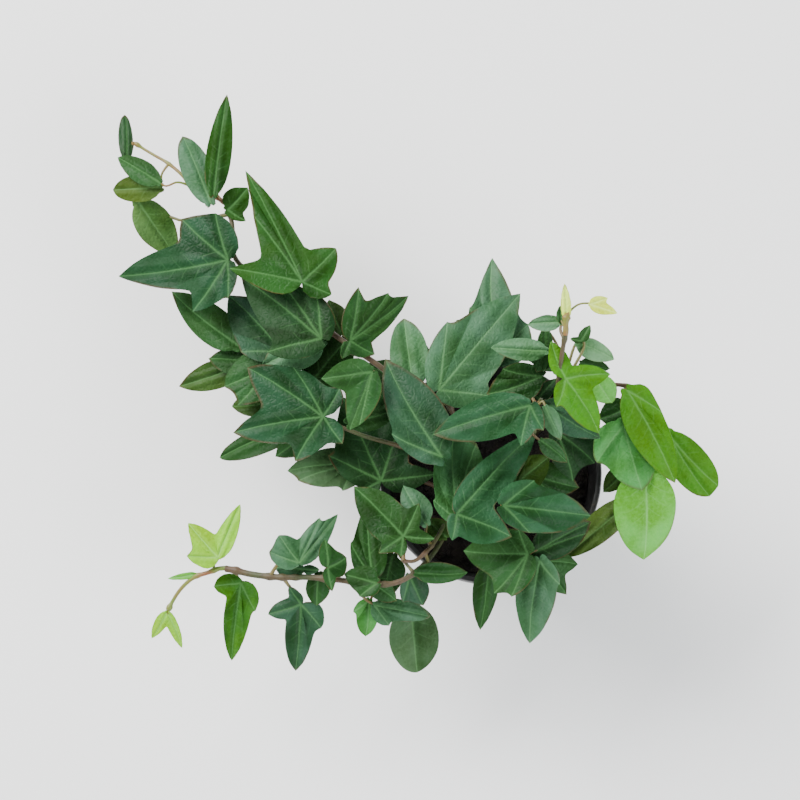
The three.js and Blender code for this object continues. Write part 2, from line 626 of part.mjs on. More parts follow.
function soilSolid(plants) {
  const { top, bottom, gap, crown, clod, rings, sides } = soilSize;
  const random = makeRandom(7);
  const edge = bodyRadius(top - crown - clod) - potSize.wall - gap;
  const profile = [[0, bottom], [bodyRadius(bottom) - potSize.wall - gap, bottom]];
  for (let i = rings; i >= 1; i -= 1) {
    const share = i / rings;
    profile.push([edge * share, top + crown * (1 - share * share) - crown]);
  }
  profile.push([0, top]);
  const points = profile.map(([radius, height]) => new THREE.Vector2(radius, height));
  const geometry = new THREE.LatheGeometry(points, sides).rotateX(Math.PI / 2);
  geometry.deleteAttribute('normal');
  geometry.deleteAttribute('uv');
  const merged = mergeVertices(geometry, 1e-4);
  const position = merged.attributes.position;
  for (let i = 0; i < position.count; i += 1) {
    const lump = (random() - 0.5) * 2 * clod;
    if (position.getZ(i) > top - crown - 0.1) position.setZ(i, position.getZ(i) + lump);
  }
  const holes = plants.filter((plant) => !plant.young).map((plant) => {
    const [x, y] = plant.root;
    const foot = { at: [x, y, rootHole.bottom], radius: plant.stem[0].radius };
    return tubeSolid([foot, ...stemLine(plant).slice(0, rootHole.points)], stemSides, rootHole.clearance);
  });
  return solidFrom(position.array, merged.index.array).subtract(wasm.Manifold.union(holes));
}

function meshOf(name, solid, material) {
  const { vertProperties, triVerts } = solid.getMesh();
  const geometry = new THREE.BufferGeometry();
  geometry.setAttribute('position', new THREE.BufferAttribute(new Float32Array(vertProperties), 3));
  geometry.setIndex(new THREE.BufferAttribute(new Uint32Array(triVerts), 1));
  geometry.computeVertexNormals();
  const mesh = new THREE.Mesh(geometry, material);
  mesh.name = name;
  return mesh;
}

function finish(color, roughness) {
  return new THREE.MeshStandardMaterial({ color, roughness, metalness: 0 });
}

const leafGreen = finish(0x2f6b3a, 0.4);
const youngGreen = finish(0x8fc04a, 0.45);
const plants = grow();
const pottedIvy = new THREE.Group();
pottedIvy.add(meshOf('pot', potSolid(), finish(0x17181a, 0.45)));
pottedIvy.add(meshOf('soil', soilSolid(plants), finish(0x1d1611, 0.95)));
for (const plant of plants) {
  pottedIvy.add(meshOf(plant.name, plantSolid(plant, plants), plant.young ? youngGreen : leafGreen));
}

export default pottedIvy;
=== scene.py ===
# A potted ivy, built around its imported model. Plants are written down in millimetres as seen on
# a sheet square to the camera's line of sight: x across, y up the sheet, and z the true height.
import math
import random
import bpy
import numpy as np
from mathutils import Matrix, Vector, noise


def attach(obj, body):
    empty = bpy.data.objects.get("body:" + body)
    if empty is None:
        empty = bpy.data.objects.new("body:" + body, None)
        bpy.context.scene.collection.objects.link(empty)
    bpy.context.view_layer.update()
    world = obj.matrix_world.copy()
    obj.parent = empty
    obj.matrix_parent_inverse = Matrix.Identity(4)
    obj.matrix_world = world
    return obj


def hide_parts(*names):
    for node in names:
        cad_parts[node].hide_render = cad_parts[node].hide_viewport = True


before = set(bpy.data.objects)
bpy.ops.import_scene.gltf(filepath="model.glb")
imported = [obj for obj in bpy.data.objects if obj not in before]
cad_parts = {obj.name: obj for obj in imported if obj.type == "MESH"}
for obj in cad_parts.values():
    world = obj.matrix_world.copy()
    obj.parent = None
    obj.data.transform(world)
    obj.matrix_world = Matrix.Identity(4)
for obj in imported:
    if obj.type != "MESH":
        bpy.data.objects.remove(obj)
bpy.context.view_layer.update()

print("frame loaded")

# camera, light and floor

sight = {"target": (-42, 29.5, 120), "sheet": (-40.5, 32.4), "distance": 800, "elevation": 82,
         "across": 360}
lookAt = np.array(sight["target"], float)
tilt = math.radians(sight["elevation"])
sheetUp = np.array([0, math.sin(tilt), math.cos(tilt)])
toEye = np.array([0, -math.cos(tilt), math.sin(tilt)])
eye = lookAt + sight["distance"] * toEye

studio = {"floor": (0.93, 0.93, 0.925), "floorSize": 6, "floorRoughness": 0.9, "sky": (0.95, 0.975, 1.0),
          "skyLow": 1.9, "skyHigh": 0.35}
lamps = {"keyLight": {"place": (-1.5, 1.3, 1.6), "size": 1.6, "power": 150, "colour": (1, 0.99, 0.97)},
         "fillLight": {"place": (1.6, -1.3, 1.7), "size": 1.8, "power": 80, "colour": (0.95, 0.98, 1)}}
# how a surface colour shows on screen under these lights, as a curve of the screen's linear colour
shown = {"slope": 0.36, "bend": 2.5, "vivid": 0.12, "least": 0.0005, "most": 0.9}


def areaLight(name, place, size, power, colour):
    turn = (-Vector(place)).to_track_quat("-Z", "Y").to_euler()
    bpy.ops.object.light_add(type="AREA", location=place, rotation=turn)
    lamp = bpy.context.object
    lamp.name = name
    lamp.data.size = size
    lamp.data.energy = power
    lamp.data.color = colour


def colour(red, green, blue):
    # the surface colour that is seen as this screen colour, 0 to 255
    parts = (red, green, blue)
    linear = np.array([((c / 255 + 0.055) / 1.055) ** 2.4 if c > 10 else c / 3295 for c in parts])
    found = shown["slope"] * linear * (1 + shown["bend"] * linear ** 2)
    found = np.clip(found + shown["vivid"] * (found - found.mean()), shown["least"], shown["most"])
    return (*[float(c) for c in found], 1)


def deselect():
    if bpy.context.object and bpy.context.object.mode != "OBJECT":
        bpy.ops.object.mode_set(mode="OBJECT")
    bpy.ops.object.select_all(action="DESELECT")


def choose(*objects):
    deselect()
    for each in objects:
        each.select_set(True)
    bpy.context.view_layer.objects.active = objects[0]


def join(objects, name):
    choose(*objects)
    if len(objects) > 1:
        bpy.ops.object.join()
    whole = bpy.context.object
    whole.name = whole.data.name = name
    return whole


def settle(piece):
    # its place goes into its mesh, as in a CAD node
    choose(piece)
    bpy.ops.object.transform_apply(location=True, rotation=True, scale=True)


def applyModifiers(piece):
    choose(piece)
    for modifier in list(piece.modifiers):
        bpy.ops.object.modifier_apply(modifier=modifier.name)


def discard(piece):
    choose(piece)
    bpy.ops.object.delete()


def smoothBelow(piece, angle):
    choose(piece)
    bpy.ops.object.shade_smooth_by_angle(angle=math.radians(angle))


def dress(piece, material):
    piece.data.materials.clear()
    piece.data.materials.append(material)


def put(tree, value, socket):
    # a socket is linked, anything else is a fixed value
    if isinstance(value, bpy.types.NodeSocket):
        tree.links.new(value, socket)
    elif value is not None:
        socket.default_value = value


def addNode(tree, kind, values, **settings):
    # a shader node, with each of its sockets linked or given a fixed value
    step = tree.nodes.new("ShaderNode" + kind)
    for name, value in settings.items():
        setattr(step, name, value)
    for socket, value in values.items():
        put(tree, value, step.inputs[socket])
    return step.outputs


bpy.ops.object.camera_add(location=eye / 1000, rotation=(math.radians(90) - tilt, 0, 0))
camera = bpy.context.object
camera.name = "ivyCamera"
camera.data.angle = 2 * math.atan(sight["across"] / 2 / sight["distance"])
bpy.context.scene.camera = camera
for name, lamp in lamps.items():
    areaLight(name, **lamp)
world = bpy.data.worlds.new("studioSky")
bpy.context.scene.world = world
world.use_nodes = True
sky = world.node_tree
background = sky.nodes["Background"].inputs
background["Color"].default_value = (*studio["sky"], 1)
up = addNode(sky, "SeparateXYZ", {0: addNode(sky, "TexCoord", {})["Generated"]})["Z"]
fade = {"Value": up, "To Min": studio["skyLow"], "To Max": studio["skyHigh"]}
put(sky, addNode(sky, "MapRange", fade)["Result"], background["Strength"])  # brightest low down
deselect()
bpy.ops.mesh.primitive_plane_add(size=studio["floorSize"])
floor = bpy.context.object
floor.name = "floor"
print("camera and light set")


# nodes shared by the materials

def startGroup(name, inputs, outputs):
    tree = bpy.data.node_groups.new(name, "ShaderNodeTree")
    kinds = {"v": "NodeSocketVector", "f": "NodeSocketFloat", "c": "NodeSocketColor"}
    for label, kind in inputs:
        tree.interface.new_socket(name=label, in_out="INPUT", socket_type=kinds[kind])
    for label, kind in outputs:
        tree.interface.new_socket(name=label, in_out="OUTPUT", socket_type=kinds[kind])
    return tree, tree.nodes.new("NodeGroupInput"), tree.nodes.new("NodeGroupOutput")


def maths(tree, operation, a, b=None, c=None):
    return addNode(tree, "Math", {0: a, 1: b, 2: c}, operation=operation)[0]


def ramp(tree, value, low, high, start=0.0, end=1.0):
    values = {"Value": value, "From Min": low, "From Max": high, "To Min": start, "To Max": end}
    return addNode(tree, "MapRange", values, interpolation_type="SMOOTHSTEP")["Result"]


def blend(tree, share, a, b):
    # by number, as this node's sockets for colours share their names with others
    return addNode(tree, "Mix", {0: share, 6: a, 7: b}, data_type="RGBA")[2]


def noiseNode(tree, vector, scale, detail=3.0, roughness=0.5):
    values = {"Vector": vector, "Scale": scale, "Detail": detail, "Roughness": roughness}
    return addNode(tree, "TexNoise", values)["Fac"]


mottleForm = {"noise": (2.0, 0.45), "limits": (0.34, 0.66)}


def makeMottle():
    # soft patches, 0 to 1
    tree, start, result = startGroup("mottle", [("Vector", "v"), ("Scale", "f"), ("Seed", "f")],
                                     [("Mask", "f")])
    vector, scale, seed = start.outputs[:3]
    spot = addNode(tree, "VectorMath", {0: vector, 1: seed}, operation="ADD")[0]
    patches = noiseNode(tree, spot, scale, *mottleForm["noise"])
    put(tree, ramp(tree, patches, *mottleForm["limits"]), result.inputs["Mask"])
    return tree


veinForm = {"wobbleScale": 0.1, "wobble": 0.8, "sideWobble": 4.0, "halfWide": 0.75, "halfThins": -0.4,
            "soft": (1.5, 0.1), "stagger": 0.21, "lean": 0.95, "arch": 0.035, "sideWide": 0.7,
            "sideThins": -0.2, "sideFade": (1.0, 0.3), "sideStart": (1.0, 4.0), "halo": (2.6, 0.2),
            "cells": 0.5, "cellEdge": 0.35, "puff": 0.5, "sunk": 0.3, "seedStep": 90.0}


def makeVeins():
    # Along and Across are in millimetres from where the stalk meets the blade, along the middle
    # vein of the nearest lobe. Share runs from 0 at the stalk to 1 at the edge.
    form, given = veinForm, ("Along", "Across", "Share", "Seed", "Spacing")
    tree, start, result = startGroup("veins", [(name, "f") for name in given],
                                     [(name, "f") for name in ("Middle", "Side", "Halo", "Height")])
    along, across, share, seed, spacing = start.outputs[:5]

    def calc(operation, *terms):
        return maths(tree, operation, *terms)

    spot = addNode(tree, "CombineXYZ", {0: along, 1: across, 2: calc("MULTIPLY", seed, form["seedStep"])})[0]
    wobble = calc("SUBTRACT", noiseNode(tree, spot, form["wobbleScale"], 2.0), 0.5)
    off = calc("ABSOLUTE", calc("ADD", across, calc("MULTIPLY", wobble, form["wobble"])))
    half = calc("MULTIPLY_ADD", share, form["halfThins"], form["halfWide"])
    middle = ramp(tree, off, *[calc("MULTIPLY", half, size) for size in form["soft"]])
    lean = calc("SUBTRACT", along, calc("MULTIPLY", off, form["lean"]))
    lean = calc("ADD", lean, calc("MULTIPLY", calc("MULTIPLY", off, off), form["arch"]))
    lean = calc("ADD", lean, calc("MULTIPLY", wobble, form["sideWobble"]))
    shift = calc("MULTIPLY", calc("SIGN", across), form["stagger"])
    count = calc("ADD", calc("ADD", calc("DIVIDE", lean, spacing), shift), seed)
    part = calc("ABSOLUTE", calc("SUBTRACT", calc("FRACT", count), 0.5))
    thin = calc("MULTIPLY_ADD", share, form["sideThins"], form["sideWide"])
    sides = ramp(tree, calc("MULTIPLY", part, spacing), thin, 0.0)
    for value, limits in ((share, form["sideFade"]), (along, form["sideStart"])):
        sides = calc("MULTIPLY", sides, ramp(tree, value, *limits))
    cells = addNode(tree, "TexVoronoi", {"Vector": spot, "Scale": form["cells"]}, feature="DISTANCE_TO_EDGE")
    height = calc("MULTIPLY", ramp(tree, cells["Distance"], 0.0, form["cellEdge"]), form["puff"])
    for vein in (middle, sides):
        height = calc("SUBTRACT", height, calc("MULTIPLY", vein, form["sunk"]))
    halo = ramp(tree, off, *form["halo"])
    for name, value in (("Middle", middle), ("Side", sides), ("Halo", halo), ("Height", height)):
        put(tree, value, result.inputs[name])
    return tree


mottle = makeMottle()
veins = makeVeins()


def startMaterial(name):
    material = bpy.data.materials.new(name)
    material.use_nodes = True
    return material, material.node_tree


def shade(tree, values):
    for name, value in values.items():
        put(tree, value, tree.nodes["Principled BSDF"].inputs[name])


def placeGroup(tree, group, **values):
    return addNode(tree, "Group", values, node_tree=group)


def objectSpot(tree):
    return addNode(tree, "TexCoord", {})["Object"]


def patchesOf(tree, scale, seed):
    return placeGroup(tree, mottle, Vector=objectSpot(tree), Scale=scale, Seed=seed)["Mask"]


def bumpOf(tree, height, strength, distance):
    values = {"Height": height, "Strength": strength, "Distance": distance}
    return addNode(tree, "Bump", values)["Normal"]


def attributeOf(tree, name, socket="Vector"):
    return addNode(tree, "Attribute", {}, attribute_name=name)[socket]


def separated(tree, vector):
    return addNode(tree, "SeparateXYZ", {0: vector})[:2]


def shifted(tree, base, hue, saturation, value):
    values = {"Color": base, "Hue": hue, "Saturation": saturation, "Value": value}
    return addNode(tree, "HueSaturation", values)["Color"]


leafLook = {"patchScale": 60, "patchSeed": 7.0, "dim": (0.49, 1.1, 0.8), "lit": (0.51, 0.97, 1.12),
            "grain": (700.0, 3.0, 0.6), "specks": (0.35, 0.7, 0.0, 0.35), "speck": (0.5, 0.95, 1.35),
            "vein": (124, 168, 116), "veinShift": (0.5, 0.85, 2.2), "veinTint": 0.5, "spacing": 6.2,
            "shares": {"Halo": 0.16, "Side": 0.26, "Middle": 0.7}, "rim": (124, 84, 62), "rimFrom": 0.94,
            "rimPatches": (0.45, 0.9, 0.0, 0.5), "roughness": (0.58, 0.42), "veinRoughness": 0.1,
            "gloss": 0.08, "under": (92, 130, 72), "underShare": 0.5, "underRoughness": 0.65,
            "bump": (0.6, 0.0005)}
mapSpan = 60.0  # millimetres of a blade that its map covers each way


def makeLeafMaterial(name, under):
    look = leafLook
    material, tree = startMaterial(name)
    # the tone attribute brings the blade's colour with its painted shade and painted sheen
    tone = attributeOf(tree, "tone", "Color")
    along, across = separated(tree, attributeOf(tree, "blade"))
    share, seed = separated(tree, attributeOf(tree, "edge"))
    found = placeGroup(tree, veins, Along=maths(tree, "MULTIPLY", along, mapSpan),
                       Across=maths(tree, "MULTIPLY_ADD", across, mapSpan, -mapSpan / 2),
                       Share=share, Seed=seed, Spacing=look["spacing"])
    patches = patchesOf(tree, look["patchScale"], maths(tree, "MULTIPLY", seed, look["patchSeed"]))
    # patches of painted sheen over random mottle: a dim copy of the tone against a lit, paler one
    skin = blend(tree, patches, shifted(tree, tone, *look["dim"]), shifted(tree, tone, *look["lit"]))
    specks = ramp(tree, noiseNode(tree, objectSpot(tree), *look["grain"]), *look["specks"])
    skin = blend(tree, specks, skin, shifted(tree, tone, *look["speck"]))
    veinColour = blend(tree, look["veinTint"], shifted(tree, tone, *look["veinShift"]),
                       colour(*look["vein"]))
    for vein, amount in look["shares"].items():
        skin = blend(tree, maths(tree, "MULTIPLY", found[vein], amount), skin, veinColour)
    reddened = maths(tree, "MULTIPLY", ramp(tree, share, look["rimFrom"], 1.0),
                     ramp(tree, patches, *look["rimPatches"]))
    skin = blend(tree, reddened, skin, colour(*look["rim"]))
    height = found["Height"]
    if under:
        skin = blend(tree, look["underShare"], skin, colour(*look["under"]))
        rough = look["underRoughness"]
        height = maths(tree, "MULTIPLY", height, -1.0)
    else:
        rough = maths(tree, "ADD", ramp(tree, patches, 0.0, 1.0, *look["roughness"]),
                      maths(tree, "MULTIPLY", found["Middle"], look["veinRoughness"]))
    shade(tree, {"Base Color": skin, "Roughness": rough, "Specular IOR Level": look["gloss"],
                 "Normal": bumpOf(tree, height, *look["bump"])})
    return material


# plainer skins: two colours in patches of a scale and seed, and a third in flecks of the grain or
# as a blush, which is patches of its own and their share
stemLook = {"colours": ((116, 88, 60), (84, 98, 50), (64, 48, 34)), "patches": (60.0, 3.0),
            "grain": (700.0, 4.0, 0.6), "flecks": (0.5, 0.72, 0.0, 0.7), "roughness": 0.6,
            "bump": (0.4, 0.0003)}
stalkLook = {"colours": ((146, 146, 88), (84, 112, 54), (150, 100, 74)), "patches": (48.0, 5.0),
             "grain": (1100.0, 2.0), "blush": (30.0, 9.0, 0.5), "roughness": 0.5, "bump": (0.2, 0.0002)}
youngLook = {"colours": ((142, 160, 76), (168, 122, 86)), "patches": (80.0, 2.0), "grain": (900.0, 2.0),
             "roughness": 0.5, "bump": (0.2, 0.0002)}


def makeSkin(name, look):
    material, tree = startMaterial(name)
    first, second, *third = [colour(*each) for each in look["colours"]]
    skin = blend(tree, patchesOf(tree, *look["patches"]), first, second)
    grain = noiseNode(tree, objectSpot(tree), *look["grain"])
    if "flecks" in look:
        skin = blend(tree, ramp(tree, grain, *look["flecks"]), skin, third[0])
    if "blush" in look:
        *patches, share = look["blush"]
        skin = blend(tree, maths(tree, "MULTIPLY", patchesOf(tree, *patches), share), skin, third[0])
    shade(tree, {"Base Color": skin, "Roughness": look["roughness"],
                 "Normal": bumpOf(tree, grain, *look["bump"])})
    return material


materials = {"leafTop": makeLeafMaterial("leafTop", False),
             "leafUnder": makeLeafMaterial("leafUnder", True),
             "stem": makeSkin("stemBark", stemLook), "stalk": makeSkin("leafStalk", stalkLook),
             "young": makeSkin("youngStem", youngLook)}
print("leaf and stem materials made")

# The shoots: the stem's thickness at its root and end and its points (x, y, z), and for each leaf
# its tone, stalk end, tip, width, height and drop, then its roll, side lobes and roundness where
# they aren't 0, none and the usual. A side lobe is a tip, with its width as a share of its length
# and its roundness where they aren't the usual.
shoots = {
    "back_left_runner": {"thick": (2.8, 2.2), "stem": [(-17, 12, 72), (-23, 21, 96), (-37, 36, 106),
        (-49, 47, 108), (-62, 56, 107), (-76, 66, 104), (-90, 76, 99), (-104, 86, 95), (-115, 97, 92),
        (-116, 111, 90), (-118, 120, 89)],
        "leaves": [
        ("olive", (-67, 63), (-72.5, 77.5), 12, 88, 4),
        ("mid", (-113.5, 57), (-143, 81), 17, 88, 8, 2),
        ("pale", (-158, 121.3), (-141.2, 97), 16.5, 82, 7, 3, [], 0.5),
        ("grey", (-93, 54), (-117.5, 79.5), 25, 97, 7, 0, [(-110, 54)]),
        ("shade", (-76, 60), (-111, 87), 26, 103, 8, 0, [(-90, 79.5, 0.5), (-78, 79.5, 0.7),
         (-100, 54)]),
        ("frost", (-76, 59), (-103, 47.5), 17, 101, 5, -2, [(-95, 58)]),
        ("marine", (-118, 95.3), (-167, 88), 20, 102, 9, 2, [(-138.8, 114, 0.75, 0.5),
         (-123, 114.5, 0.7, 0.6), (-133.5, 72.5, 0.6), (-118, 79.5, 0.5)]),
        ("vivid", (-84.5, 85.5), (-110, 135.5), 14, 112, 10, 2, [(-104, 112, 0.55),
         (-69.5, 100.5, 0.75, 0.5), (-116.5, 91.5, 0.45), (-71.5, 80, 0.7, 0.5)], 0),
        ("dark", (-63, 59), (-37, 79), 12, 112, 7, 2, [(-46, 80.3, 0.45), (-59.3, 82.8, 0.42),
         (-52, 53, 0.8), (-66.5, 51, 0.6)]),
        ("dark", (-41, 41), (-56, 48), 14, 90, 5),
        ("vivid", (-118, 118), (-109, 128), 12, 92, 2, 0, [(-110, 113)])]},
    "back_left_tip": {"young": True, "thick": (1.9, 1.3), "stem": [(-119, 120.9, 88.9), (-124, 124, 88),
        (-133, 126.5, 87), (-138.5, 133.5, 86), (-145, 139, 84), (-151, 142.5, 82.5),
        (-156, 145.5, 81.5), (-160.5, 148.5, 81)],
        "leaves": [
        ("mist", (-126, 121.5), (-138.2, 150.8), 14, 92, 3, -3, [], 0.7),
        ("vivid", (-124.4, 125), (-118.2, 171), 11.5, 95, 8, 3, [], 0.3),
        ("hay", (-148.5, 128), (-169.5, 127), 12.5, 84, 4, -2, [], 0.7),
        ("mid", (-149, 130.5), (-167.5, 141.5), 10.5, 87, 3, 2, [], 0.5),
        ("shade", (-163.5, 140), (-164.4, 161), 6.5, 83, 4, 1, [], 0.8)]},
    "left_spray": {"thick": (2.6, 1.4), "stem": [(-21, 2, 72), (-30, 7, 96), (-42, 12, 103),
        (-56, 16, 104), (-69, 21, 104), (-83, 26, 102), (-94, 33, 97), (-103, 40, 93)],
        "leaves": [
        ("olive", (-111, 48), (-140, 38.5), 13.5, 80, 6, -3, [], 0.3),
        ("dark", (-105, 49), (-127, 51), 13, 84, 5, 2, [], 0.3),
        ("olive", (-96, 31), (-116.5, 29.5), 11, 84, 5, 2, [], 0.5),
        ("dark", (-84, 22), (-122, 6.2), 12, 86, 9, 2, [], 0.8),
        ("dark", (-83, 17), (-96.5, 7), 12, 88, 6),
        ("mid", (-97, 48), (-119.5, 38.5), 20, 93, 6, 2, [(-113, 30.5, 0.6)]),
        ("dark", (-80.6, 40), (-63.5, 60), 23, 96.5, 3, 0, [], 0.5),
        ("marine", (-75, 25), (-116.3, 17.5), 17, 108, 9, 2, [(-108.5, 46.5, 0.6), (-86, 43, 0.7),
         (-67.5, 38, 0.8), (-87.5, 5, 0.6), (-66.5, 13, 0.8)], 0.35)]},
    "left_front_spray": {"thick": (2.4, 1.4), "stem": [(-19, -9, 72), (-28, -5, 88), (-40, -1, 92.3),
        (-50, 4, 92.6), (-58, 13, 91.5), (-61, 25, 95), (-57, 37, 101)],
        "leaves": [
        ("moss", (-60, 4), (-91, 0.5), 16, 92, 7, 0, [(-84, -3.3), (-66, -8, 0.8)]),
        ("dark", (-56, 1), (-74, 4), 16, 84, 8),
        ("shade", (-49, -4), (-66.5, 34), 25, 99, 1, 0, [(-72, 7), (-39, 27), (-25, -1), (-58, -8.5)]),
        ("mid", (-63, 22), (-36, 38), 17, 108, 4, 0, [(-47, 27)]),
        ("mid", (-53, 45), (-63, 19), 15, 116, 5, 0, [(-75.5, 42, 0.65), (-56, 32)])]},
    "centre_back_spray": {"thick": (2.8, 2), "stem": [(-7, 12, 72), (-12, 20, 98), (-17, 27, 109),
        (-20, 35, 112)],
        "leaves": [
        ("mist", (3.5, 50), (1, 95.5), 21, 104, 9, 0, [(17, 66, 0.8, 0.6), (-8, 71.5, 0.6)], 0),
        ("dark", (-5, 57), (-15, 68), 16, 93, 8),
        ("shade", (7.4, 56.4), (5, 77), 13, 93.5, 14),
        ("dark", (-30, 47), (-40, 61), 14, 94, 5),
        ("frost", (-34.6, 38), (-38.8, 69), 17.5, 112, 5, 0, [], 0.7),
        ("mist", (-23, 37), (13, 79.5), 29, 116, 8, -1, [(-19.5, 65.5, 0.5), (3, 34)]),
        ("grey", (-22, 7), (-47.5, 51.5), 25, 122, 6, 0, [(-42, 16)])]},
    "centre_spray": {"thick": (2.8, 2), "stem": [(3, -1, 72), (1, 1, 98), (-1, 3, 113)],
        "leaves": [
        ("dark", (19, -1), (40, -7), 15, 100, 6, 0, [(30, -12)]),
        ("olive", (11, -6), (27, 7), 15, 108, 3, 0, [(14, 7)]),
        ("sage", (-15, -21), (-16, 21), 20, 112, 5, 0, [(-6.5, 11, 0.5), (-25, -13)], 0.5),
        ("teal", (-15, -19), (20.5, 18), 18, 122, 4, 0, [(9.5, -29, 0.7), (-17, -30.5, 0.6)]),
        ("teal", (6, -15), (45.5, -19.8), 21, 128, 8, 2, [(16, -25.5, 0.6), (19, -4.5, 0.7)], 0.4)]},
    "centre_right_spray": {"thick": (2.4, 1.5), "stem": [(10, 4, 72), (14, 12, 100), (18, 19, 116),
        (21, 26, 123), (23, 33, 128)],
        "leaves": [
        ("shade", (30, 18), (47, 4), 21, 104, 6, 0, [(51, 14), (37, -3)]),
        ("shade", (22, 33), (10, 45), 15, 116, 3, 0, [(30, 42)]),
        ("dark", (30, 46), (25, 57), 12, 94, 5),
        ("grey", (25, 30), (50, 15), 14, 120, 5, 0, [(40, 29)]),
        ("mid", (23, 14), (35, 4), 8, 122, 6),
        ("frost", (25, 29), (32, 14), 8, 128, 5),
        ("dark", (23, 43), (-2, 35), 17, 122, 4, 0, [(8, 46)]),
        ("teal", (18, 30), (-25, 17), 20, 128, 8, 0, [(14, 12), (24, 19)], 0.35)]},
    "back_right_shoot": {"thick": (2.3, 2.1), "stem": [(17, 14, 72), (25, 22, 104), (30, 31, 126),
        (31, 40, 140), (32, 50, 148), (33, 57, 152), (34, 62, 155)],
        "leaves": [
        ("dark", (38, 41), (50, 35), 12, 92, 5),
        ("dark", (41, 49), (54, 46.5), 7, 120, 3),
        ("ice", (39.5, 58), (56, 50.5), 9.5, 128, 4, 0, [], 0.4),
        ("dark", (41, 59), (45, 66), 5, 131, 0, 0, [(36, 60)]),
        ("mid", (26, 54), (21, 45), 9, 126, 4, 0, [(18, 50)]),
        ("mid", (25, 64), (24, 45), 7, 134, 6),
        ("frost", (25, 54.5), (0.5, 56), 10.5, 138, 4, 0, [], 0.3),
        ("frost", (31.5, 67.3), (17.2, 66.5), 7.5, 148, 3, 0, [], 0.5),
        ("palelime", (48, 42), (55, 31), 12, 136, 4, 0, [], 0.5),
        ("bright", (34, 42), (49, 17.5), 15, 146, 6, 0, [(54, 44, 0.55), (30, 29.5), (27.5, 59)])]},
    "back_right_tip": {"young": True, "thick": (2, 1.4), "stem": [(34.1, 63, 155.6), (34.3, 69, 157),
        (35.5, 72, 158)],
        "leaves": [
        ("mid", (32, 67), (31.5, 75), 4, 154, -1),
        ("lemon", (34.5, 69), (33.6, 85), 4.6, 157, -2),
        ("lemon", (45, 75.5), (53, 78.3), 5, 157, 2, 0, [(57, 71.5, 0.45)])]},
    "right_spray": {"thick": (2.4, 1.4), "stem": [(22, 1, 72), (31, 12, 96), (40, 26, 110),
        (50, 38, 116), (60, 39, 116), (72, 34, 112), (78, 23, 106), (80, 14, 101)],
        "leaves": [
        ("hay", (63, -13), (33.3, -38.6), 13.5, 93.9, 2, 1, [], 0.5),
        ("palelime", (70, 1), (69.2, -40), 28, 94, 12, 0, [], 0.45),
        ("dark", (62, 29), (49, 24), 13, 98, 4, 0, [], 0.3),
        ("olive", (62, 2), (51, -9), 10, 88, 5, 0, [], 0.3),
        ("acid", (80, 17), (98.5, -10.6), 16.5, 98, 9, 0, [(101, -4.5, 0.4)], 0.8),
        ("jade", (60, 21), (68.5, -8.5), 22, 106, 8, 0, [(48, 4.5, 0.75)], 0.6),
        ("acid", (62, 36.5), (83, -4.5), 18, 112, 11, 0, [(74.5, 28.5, 0.8)], 0.4)]},
    "front_right_spray": {"thick": (2.4, 1.6), "stem": [(8, -10, 72), (12, -21, 94), (15, -31, 103),
        (17, -38, 106)],
        "leaves": [
        ("dark", (-0.6, -42), (-4.4, -71), 11.5, 96, 12),
        ("shade", (20, -36), (46, -22), 16, 98, 3, 0, [(34, -31)]),
        ("mid", (22, -40), (34.3, -55), 11, 97, 6, 0, [(39.3, -41.5, 0.7)]),
        ("mist", (22.5, -40), (17.9, -76.3), 18.5, 100, 12, 0, [(31, -50, 0.5)], 0.35),
        ("mid", (17, -37), (-12, -35.5), 22, 107, 5, 0, [(2, -54.5, 0.6), (13, -26), (10, -55, 0.6)])]},
    "front_left_spray": {"thick": (2.4, 1.5), "stem": [(-13, -13, 72), (-20, -23, 95), (-27, -34, 105),
        (-34, -40, 109), (-39, -40, 111)],
        "leaves": [
        ("olive", (-20, -29), (-29, -21), 10, 98, 3),
        ("mist", (-29, -23), (-39, -6), 13, 98, 4),
        ("mid", (-33, -45.5), (-10, -45.2), 10, 101, 5, 0, [], 0.3),
        ("dark", (-39, -29), (-61.3, -6.5), 19, 110, 5, 0, [(-25, -30), (-50, -36.5), (-40, -38, 0.8),
         (-32, -14)])]},
    "front_left_runner": {"thick": (2, 3.1), "stem": [(-16, -19, 72), (-23, -33, 93), (-32, -44, 100),
        (-43, -50, 101), (-56, -50, 100), (-69, -48.5, 98), (-83, -47.3, 95), (-96, -47.3, 92),
        (-108, -45.9, 89.3), (-115, -44.2, 87.8), (-119, -43.5, 87)],
        "leaves": [
        ("moss", (-35.5, -60), (-32.8, -90), 22.3, 74, 10, 0, [], 0.9),
        ("dark", (-44, -38), (-47, -57), 14, 80, 9),
        ("dark", (-53, -48), (-55, -14), 15, 92, 5, -3, [(-62, -33)]),
        ("dark", (-51, -50), (-65.5, -46), 13, 104, 3, 0, [(-58, -55.5, 0.8)]),
        ("mist", (-52, -60), (-27, -65), 10, 88, 4, 0, [(-45.5, -69, 0.7)], 0.5),
        ("grey", (-36, -47), (-30, -60), 12, 94, 6, 0, [(-39, -58)], 0.4),
        ("jade", (-54.6, -58), (-56, -74), 10, 84, 6, 0, [(-61.4, -62.8)], 0.5),
        ("mid", (-53, -50), (-42, -58), 10, 92, 3),
        ("dark", (-73, -43), (-64.5, -38.5), 13, 103, 3, 0, [(-74.5, -30), (-71, -53.5)]),
        ("dark", (-77, -46), (-78, -60), 11, 90, 4, 0, [], 0.5),
        ("grey", (-85, -59.5), (-87.5, -90), 12.5, 86, 9, 0, [(-100, -64, 0.55), (-76, -70, 0.9, 0.7),
         (-90.5, -51.7)], 0.5),
        ("fresh", (-112, -50), (-116.3, -85), 12, 80, 9, 0, [(-124.3, -51.5, 0.8, 0.6),
         (-105.8, -62, 0.75, 0.5)], 0.4),
        ("mist", (-86, -41), (-68.5, -19), 10, 98, 4, 0, [(-77, -21.5, 0.4), (-95, -28.5, 0.7, 0.6),
         (-99.3, -36, 0.7, 0.6)], 0),
